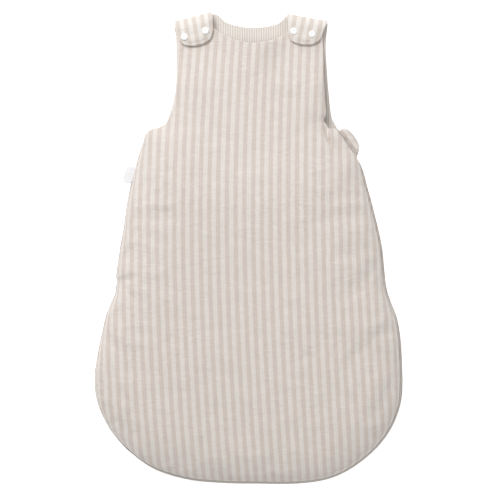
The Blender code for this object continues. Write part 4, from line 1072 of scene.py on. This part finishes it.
def tape(name, s0, s1, section, mat, step=3.0, smooth_angle=50):
    """A long narrow piece along the zip. section lists (outward, z) points, closed."""
    s = np.linspace(s0, s1, max(2, int((s1 - s0) / step) + 1))
    q, _, o = along_zip(s)
    m = len(section)
    sec = np.array(section, float)
    girth = np.concatenate([[0], np.cumsum(np.linalg.norm(np.diff(np.vstack([sec, sec[:1]]), axis=0), axis=1))])[:-1]
    verts = np.concatenate([np.column_stack([q + o * a, np.full(len(q), z)])[:, None] for a, z in section], axis=1).reshape(-1, 3)
    uv = np.array([(g, t) for t in s for g in girth])
    faces = []
    for i in range(len(s) - 1):
        for k in range(m):
            j = (k + 1) % m
            faces.append((i * m + k, i * m + j, (i + 1) * m + j, (i + 1) * m + k))
    last = (len(s) - 1) * m
    faces.append(tuple(range(m))[::-1])
    faces.append(tuple(last + k for k in range(m)))
    obj = mesh_object(name, verts, faces, uv, mat, smooth_angle=smooth_angle)
    flip_if_inside_out(obj)
    return obj


half, slot = TAPE_T / 2, CHAIN_SLOT / 2
tooth_in = half + 0.3
SECTION_BACK = [(-half, CHAIN_Z - slot), (-half, 11.4), (-half + 0.25, 10.5), (0.6, 9.9), (2.8, 9.25), (5.3, 8.95), (5.6, 9.2), (5.5, 9.7), (3.0, 10.1), (1.2, 10.6),
                (half, 11.4), (half, CHAIN_Z - slot)]
SECTION_FRONT = [(-half, CHAIN_Z + slot), (half, CHAIN_Z + slot), (half, 20.6), (0.9, 21.4), (2.4, 21.9), (4.5, 22.25), (4.75, 22.6), (4.5, 23.0), (2.2, 22.7), (0.6, 22.3),
                 (-0.2, 21.6), (-half, 20.6)]


def coil(name, s0, s1, up, phase):
    """One row of the coil zip: a small rounded loop at every pitch, its head reaching into the other row's gaps."""
    pitch = 1.9
    count = int((s1 - s0) / pitch)
    s = s0 + phase * pitch + pitch * np.arange(count) + 0.3
    q, t, o = along_zip(s)
    sg = 1.0 if up else -1.0
    # rings of one loop, from its foot on the tape to its head: (z away from the middle, half width along, outward in, outward out)
    rings = [(2.35, 0.42, 0.75, 2.05), (1.9, 0.46, 0.70, 2.35), (1.0, 0.46, 0.70, 2.45), (0.1, 0.52, 0.72, 2.5), (-0.32, 0.52, 0.80, 2.4), (-0.5, 0.34, 1.0, 2.2)]
    verts, faces, uv = [], [], []
    for i in range(count):
        base = len(verts)
        for z, w, a, b in rings:
            mid, ra = 0.5 * (a + b), 0.5 * (b - a)
            for k in range(8):
                ang = 2 * math.pi * (k + 0.5) / 8
                cx, cy = math.cos(ang), math.sin(ang)
                cx, cy = math.copysign(abs(cx) ** 0.6, cx), math.copysign(abs(cy) ** 0.6, cy)
                pt = q[i] + t[i] * w * cx + o[i] * (mid + ra * cy)
                verts.append((pt[0], pt[1], CHAIN_Z + sg * z))
                uv.append((s[i], k))
        for r in range(len(rings) - 1):
            for k in range(8):
                j = (k + 1) % 8
                f = (base + r * 8 + k, base + r * 8 + j, base + (r + 1) * 8 + j, base + (r + 1) * 8 + k)
                faces.append(f)
        faces.append(tuple(base + k for k in range(8))[::-1])
        faces.append(tuple(base + (len(rings) - 1) * 8 + k for k in range(8)))
    obj = mesh_object(name, verts, faces, uv, COIL, smooth_angle=70)
    flip_if_inside_out(obj)
    return obj


tape_back = tape("zip_tape_back_woven", 0.0, ZIP_LEN, SECTION_BACK, TAPE)
tape_front = tape("zip_tape_front_woven", 0.0, ZIP_LEN - 6.5, SECTION_FRONT, TAPE)
coil_back = coil("zip_coil_back", 3.0, ZIP_LEN - 6.5, False, 0.0)
coil_front = coil("zip_coil_front", 3.0, ZIP_LEN - 6.5, True, 0.5)
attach(tape_back, "bag")
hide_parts("zip_tape_back")
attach(coil_back, "bag")
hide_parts("zip_teeth_back")
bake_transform(tape_front)
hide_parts("zip_tape_front", "zip_tape_front_top")
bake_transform(coil_front)
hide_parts("zip_teeth_front", "zip_teeth_front_top")


def bevelled(name, node, amount, body, mat):
    """The frame's own piece with its edges rounded over."""
    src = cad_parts[node]
    me = src.data.copy()
    me.name = name
    me.materials.clear()
    me.materials.append(mat)
    o = bpy.data.objects.new(name, me)
    scene.collection.objects.link(o)
    weld = o.modifiers.new("weld", "WELD")
    weld.merge_threshold = 0.00001
    bev = o.modifiers.new("rounded_edges", "BEVEL")
    bev.width = amount * MM
    bev.segments = 2
    bev.limit_method = "ANGLE"
    bev.angle_limit = math.radians(35)
    bev.use_clamp_overlap = True
    bpy.context.view_layer.update()
    dg = bpy.context.evaluated_depsgraph_get()
    done = bpy.data.meshes.new_from_object(o.evaluated_get(dg))
    o.modifiers.clear()
    o.data = done
    v = np.zeros(len(done.vertices) * 3, np.float32)
    done.vertices.foreach_get("co", v)
    rest = done.attributes.get("rest") or done.attributes.new("rest", "FLOAT_VECTOR", "POINT")
    rest.data.foreach_set("vector", v)
    done.shade_smooth()
    done.set_sharp_from_angle(angle=math.radians(45))
    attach(o, body)
    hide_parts(node)
    return o


bevelled("zip_slider_cast", "zip_slider", 0.22, "zip_slider", METAL)
bevelled("zip_top_stop_back_crimped", "zip_top_stop_back", 0.3, "bag", METAL)
bevelled("zip_top_stop_front_crimped", "zip_top_stop_front", 0.3, "bag", METAL)
bevelled("zip_bottom_stop_crimped", "zip_bottom_stop", 0.35, "bag", METAL)

# pull: a flat tongue with a waist, an eye at its foot round the slider's bar, and a round hole at its end
PIVOT_S = SLIDER_REST + SLIDER_L - 1.2
PIVOT_O = tooth_in + TOOTH + 0.4 + 1.1 + 0.85
tongue = [(-0.58, -2.2), (0.0, -2.85), (3.4, -2.9), (5.2, -2.3), (7.5, -2.1), (10.5, -2.6), (14.0, -3.0), (17.2, -2.9), (19.0, -1.8), (19.5, 0.0)]
tongue = tongue + [(s, -z) for s, z in tongue[-2::-1]]
outer_edge = np.array(spline(tongue + [tongue[0]], 0.6)[:-1])
eye = np.array([(1.6 + 1.35 * math.copysign(abs(math.cos(w)) ** 0.5, math.cos(w)), 1.75 * math.copysign(abs(math.sin(w)) ** 0.5, math.sin(w)))
                for w in np.linspace(0, 2 * math.pi, 24, endpoint=False)])
hole = np.array([(15.6 + 1.25 * math.cos(w), 1.25 * math.sin(w)) for w in np.linspace(0, 2 * math.pi, 20, endpoint=False)])


def plate(name, rim, holes, depth, bevel):
    """A flat plate with holes, its edges rounded, in the (length, height) plane of the pull."""
    loops = [rim] + list(holes)
    ring_sets = []
    for k, lp in enumerate(loops):
        nx_, pv = np.roll(lp, -1, axis=0), np.roll(lp, 1, axis=0)
        t_ = nx_ - pv
        t_ /= np.linalg.norm(t_, axis=1)[:, None]
        area = np.sum(lp[:, 0] * np.roll(lp[:, 1], -1) - np.roll(lp[:, 0], -1) * lp[:, 1])
        sgn = 1.0 if area > 0 else -1.0
        inn = np.stack([-t_[:, 1], t_[:, 0]], 1) * sgn * (1 if k == 0 else -1)
        ring_sets.append((lp, lp + inn * bevel))
    pts, edges, base = [], [], 0
    for lp, inn in ring_sets:
        pts.extend(inn)
        edges.extend((base + i, base + (i + 1) % len(inn)) for i in range(len(inn)))
        base += len(inn)
    out = delaunay_2d_cdt([Vector((float(x), float(y))) for x, y in pts], edges, [], 0, 1e-6)
    v2 = np.array([(v.x, v.y) for v in out[0]])
    tr = np.array([tuple(f) for f in out[2]])
    mid = v2[tr].mean(1)
    ok = inside(ring_sets[0][1], mid)
    for lp, inn in ring_sets[1:]:
        ok &= ~inside(inn, mid)
    tr = tr[ok]
    a_, b_, c_ = v2[tr[:, 0]], v2[tr[:, 1]], v2[tr[:, 2]]
    turn = (b_[:, 0] - a_[:, 0]) * (c_[:, 1] - a_[:, 1]) - (b_[:, 1] - a_[:, 1]) * (c_[:, 0] - a_[:, 0])
    tr[turn < 0] = tr[turn < 0][:, [0, 2, 1]]
    n_ = len(v2)
    v3 = [(x, y, depth / 2) for x, y in v2] + [(x, y, -depth / 2) for x, y in v2]
    fs = [tuple(t_) for t_ in tr] + [(a + n_, c + n_, b + n_) for a, b, c in tr]
    start_ = 0
    for lp, inn in ring_sets:
        m = len(lp)
        rows = []
        tops = list(range(start_, start_ + m))
        rows.append(tops)
        for share, dz in ((0.6, 0.4), (1.0, 0.15), (1.0, -0.15), (0.6, -0.4)):
            ring = inn + (lp - inn) * share
            rows.append(list(range(len(v3), len(v3) + m)))
            v3.extend((x, y, depth * dz) for x, y in ring)
        rows.append([i + n_ for i in tops])
        for r in range(len(rows) - 1):
            for i in range(m):
                j = (i + 1) % m
                fs.append((rows[r][i], rows[r + 1][i], rows[r + 1][j], rows[r][j]))
        start_ += m
    # length along the zip, height, and thickness outward from the bag
    world = []
    for s_, z_, o_ in v3:
        q_ = ZIP_TOP + zd * (PIVOT_S + s_) + zo * (PIVOT_O + o_)
        world.append((q_[0], q_[1], CHAIN_Z + z_))
    obj = mesh_object(name, world, fs, [(a, b) for a, b, _ in v3], METAL, smooth_angle=50)
    return obj


pull = plate("zip_pull_tongue", outer_edge, [eye, hole], 1.0, 0.22)
import bmesh
bm = bmesh.new()
bm.from_mesh(pull.data)
bmesh.ops.recalc_face_normals(bm, faces=bm.faces)
bm.to_mesh(pull.data)
bm.free()
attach(pull, "zip_pull")
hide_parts("zip_pull")

# ---------------------------------------------------------------- fabric garage over the zip's top
rim = spline([(156.8, 131.0), (160.6, 135.4), (163.4, 142), (163.9, 149), (161.6, 156.5), (157.6, 163.5), (151.2, 171.0), (144.2, 175.4), (138.4, 175.2),
              (134.4, 172.0), (131.2, 168.4)], 1.5)
under = spline([(131.2, 168.4), (136.0, 158.5), (142.5, 149.0), (149.5, 139.5), (156.8, 131.0)], 1.5)
hem_line = np.array(rim[:-1] + under[:-1])
if 0.5 * np.sum(hem_line[:, 0] * np.roll(hem_line[:, 1], -1) - np.roll(hem_line[:, 0], -1) * hem_line[:, 1]) < 0:
    hem_line = hem_line[::-1]
plan = plan_of(hem_line, 1.5, [0.25, 0.7, 1.3, 2.1, 3.1])
p = plan[0]
d = distance(hem_line, p)
reach = np.where(inside(FRONT_LOOP, p), 0.0, distance(FRONT_LOOP, p))
round_, _ = along_edge(hem_line, p)
span_ = (p - np.array((158.0, 133.0))) @ np.array((-0.63, 0.776))
swell = smooth(0.0, 4.0, reach) * rounded(d / 4.5)
ruck = 0.55 * fine(span_ / 3.6, reach / 5.0) + 0.35 * medium(span_ / 7.0, reach / 3.0 + 4.0)
crease_at = 3.3 + 1.3 * medium(span_ / 8.0, 2.5)
crease = np.exp(-((reach - crease_at) / 0.75) ** 2) * smooth(3.0, 8.0, span_) * smooth(46.0, 36.0, span_)
crease += 0.55 * np.exp(-((reach - crease_at - 3.2 - 0.8 * fine(span_ / 5.0, 8.5)) / 0.5) ** 2) * smooth(10.0, 16.0, span_) * smooth(40.0, 30.0, span_)
puff = 5.6 * rounded(d / 3.6) + 4.2 * swell + (ruck - 3.4 * crease) * swell
nether = 6.2 * rounded(d / 3.6) + 0.4 * fine(span_ / 4.0, 19.0 + reach / 4.0) * smooth(0.5, 2.5, d)
uv = np.column_stack([0.16 + reach / STRIPE * 1.25 + 0.10 * medium(span_ / 9.0, 4.5), span_ / STRIPE])
garage = layer("zip_garage_cloth", plan, 16.05 - nether, 16.35 + puff, uv, CLOTH)
flip_if_inside_out(garage)
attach(garage, "bag")
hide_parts("zip_garage")

# ---------------------------------------------------------------- blank side label
corners = [(-165.5, 119.9), (-178.6, 119.6), (-186.2, 103.0), (-185.4, 97.2), (-178.6, 93.8), (-173.0, 95.4)]
edge = []
for i, c in enumerate(corners):
    a_, b_ = np.array(c, float), np.array(corners[(i + 1) % len(corners)], float)
    m = max(1, int(np.linalg.norm(b_ - a_) / 1.2))
    edge.extend(a_ + (b_ - a_) * k / m for k in range(m))
plan = plan_of(np.array(edge), 1.4, [0.3, 0.8])
p = plan[0]
u_ = (p - np.array((-178.6, 119.6))) @ np.array((-0.40, -0.915))
v_ = (p - np.array((-178.6, 119.6))) @ np.array((-0.915, 0.40))
free = smooth(-2, 10, v_)
curl = SEAM_Z + 0.15 + 1.6 * free * np.sin(u_ / 8.5) + 1.1 * free ** 2
d = distance(np.array(edge), p)
half_t = 0.15 + 0.3 * rounded(d / 0.8)
label = layer("side_label_woven", plan, curl - half_t, curl + half_t, np.column_stack([u_, v_]), LABEL)
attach(label, "bag")
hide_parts("side_label")


# ---------------------------------------------------------------- topstitching round the neck and armholes
def front_height(q):
    q = np.asarray(q)
    dd = distance(FRONT_LOOP, q)
    ex = wrinkles(q, dd) - 1.2 * np.exp(-((dd - 4.2) / 0.9) ** 2) * smooth(165, 185, q[:, 1]) - groove(q, (110, 190), (119, 148), 2.6, 4.5)
    return front_surfaces(q, ex)[1] + 0.02


def clear_of_straps(q):
    return (q[:, 1] > 176) & ~(inside(np.array(STRAP_LEFT), q) | inside(np.array(STRAP_RIGHT), q))


for name, part in (("neck", NECK_FRONT), ("armhole_left", ARMHOLE_LEFT_FRONT[::-1]), ("armhole_right", ARMHOLE_RIGHT_FRONT[1:])):
    run_line = np.array(spline(part, 1.0))
    for sign in (1.0, -1.0):
        moved = inset_toward(run_line, 4.2, sign)
        if inside(FRONT_LOOP, moved[len(moved) // 2:len(moved) // 2 + 1])[0]:
            stitches(f"{name}_topstitch", moved, front_height, ride="bag", use=clear_of_straps)
            break

# ---------------------------------------------------------------- floor, light and camera
me = bpy.data.meshes.new("floor")
me.from_pydata([(-4, -4, -0.0004), (4, -4, -0.0004), (4, 4, -0.0004), (-4, 4, -0.0004)], [], [(0, 1, 2, 3)])
floor = bpy.data.objects.new("floor", me)
scene.collection.objects.link(floor)
m, nt, b = new_material("pale_floor")
b.inputs["Base Color"].default_value = (0.86, 0.86, 0.86, 1)
b.inputs["Roughness"].default_value = 0.9
b.inputs["Specular IOR Level"].default_value = 0.1
b.inputs["Emission Color"].default_value = (1, 1, 1, 1)
b.inputs["Emission Strength"].default_value = 0.60
me.materials.append(m)

world = bpy.data.worlds.new("studio")
scene.world = world
world.use_nodes = True
wn = world.node_tree
coord = wn.nodes.new("ShaderNodeTexCoord")
split = wn.nodes.new("ShaderNodeSeparateXYZ")
wn.links.new(coord.outputs["Generated"], split.inputs[0])
dome = wn.nodes.new("ShaderNodeMapRange")
dome.inputs["From Min"].default_value, dome.inputs["From Max"].default_value = -0.1, 0.9
dome.inputs["To Min"].default_value, dome.inputs["To Max"].default_value = 0.31, 0.51
wn.nodes["Background"].inputs[0].default_value = (1, 1, 1, 1)
wn.links.new(split.outputs[2], dome.inputs["Value"])
wn.links.new(dome.outputs["Result"], wn.nodes["Background"].inputs[1])


def area_light(name, at, aim, size, power, colour=(1, 1, 1)):
    light = bpy.data.lights.new(name, "AREA")
    light.shape = "DISK"
    light.size = size
    light.energy = power
    light.color = colour
    o = bpy.data.objects.new(name, light)
    o.location = at
    o.rotation_mode = "QUATERNION"
    o.rotation_quaternion = (Vector(aim) - Vector(at)).to_track_quat("-Z", "Y")
    scene.collection.objects.link(o)
    return o


area_light("key", (-0.75, 1.35, 2.1), (0, 0.1, 0), 1.2, 39.5)
area_light("fill", (1.3, -0.4, 2.0), (0, -0.05, 0), 1.6, 5.0)

camera = bpy.data.cameras.new("camera")
camera.lens = 135.0
camera.sensor_width = 36.0
camera.clip_start, camera.clip_end = 0.05, 50.0
cam = bpy.data.objects.new("camera", camera)
cam.location = (0.0023, -0.004, 2.791)
cam.rotation_euler = (0.0, 0.0, 0.0)
scene.collection.objects.link(cam)
scene.camera = cam
scene.view_settings.view_transform = "Standard"
scene.view_settings.look = "None"
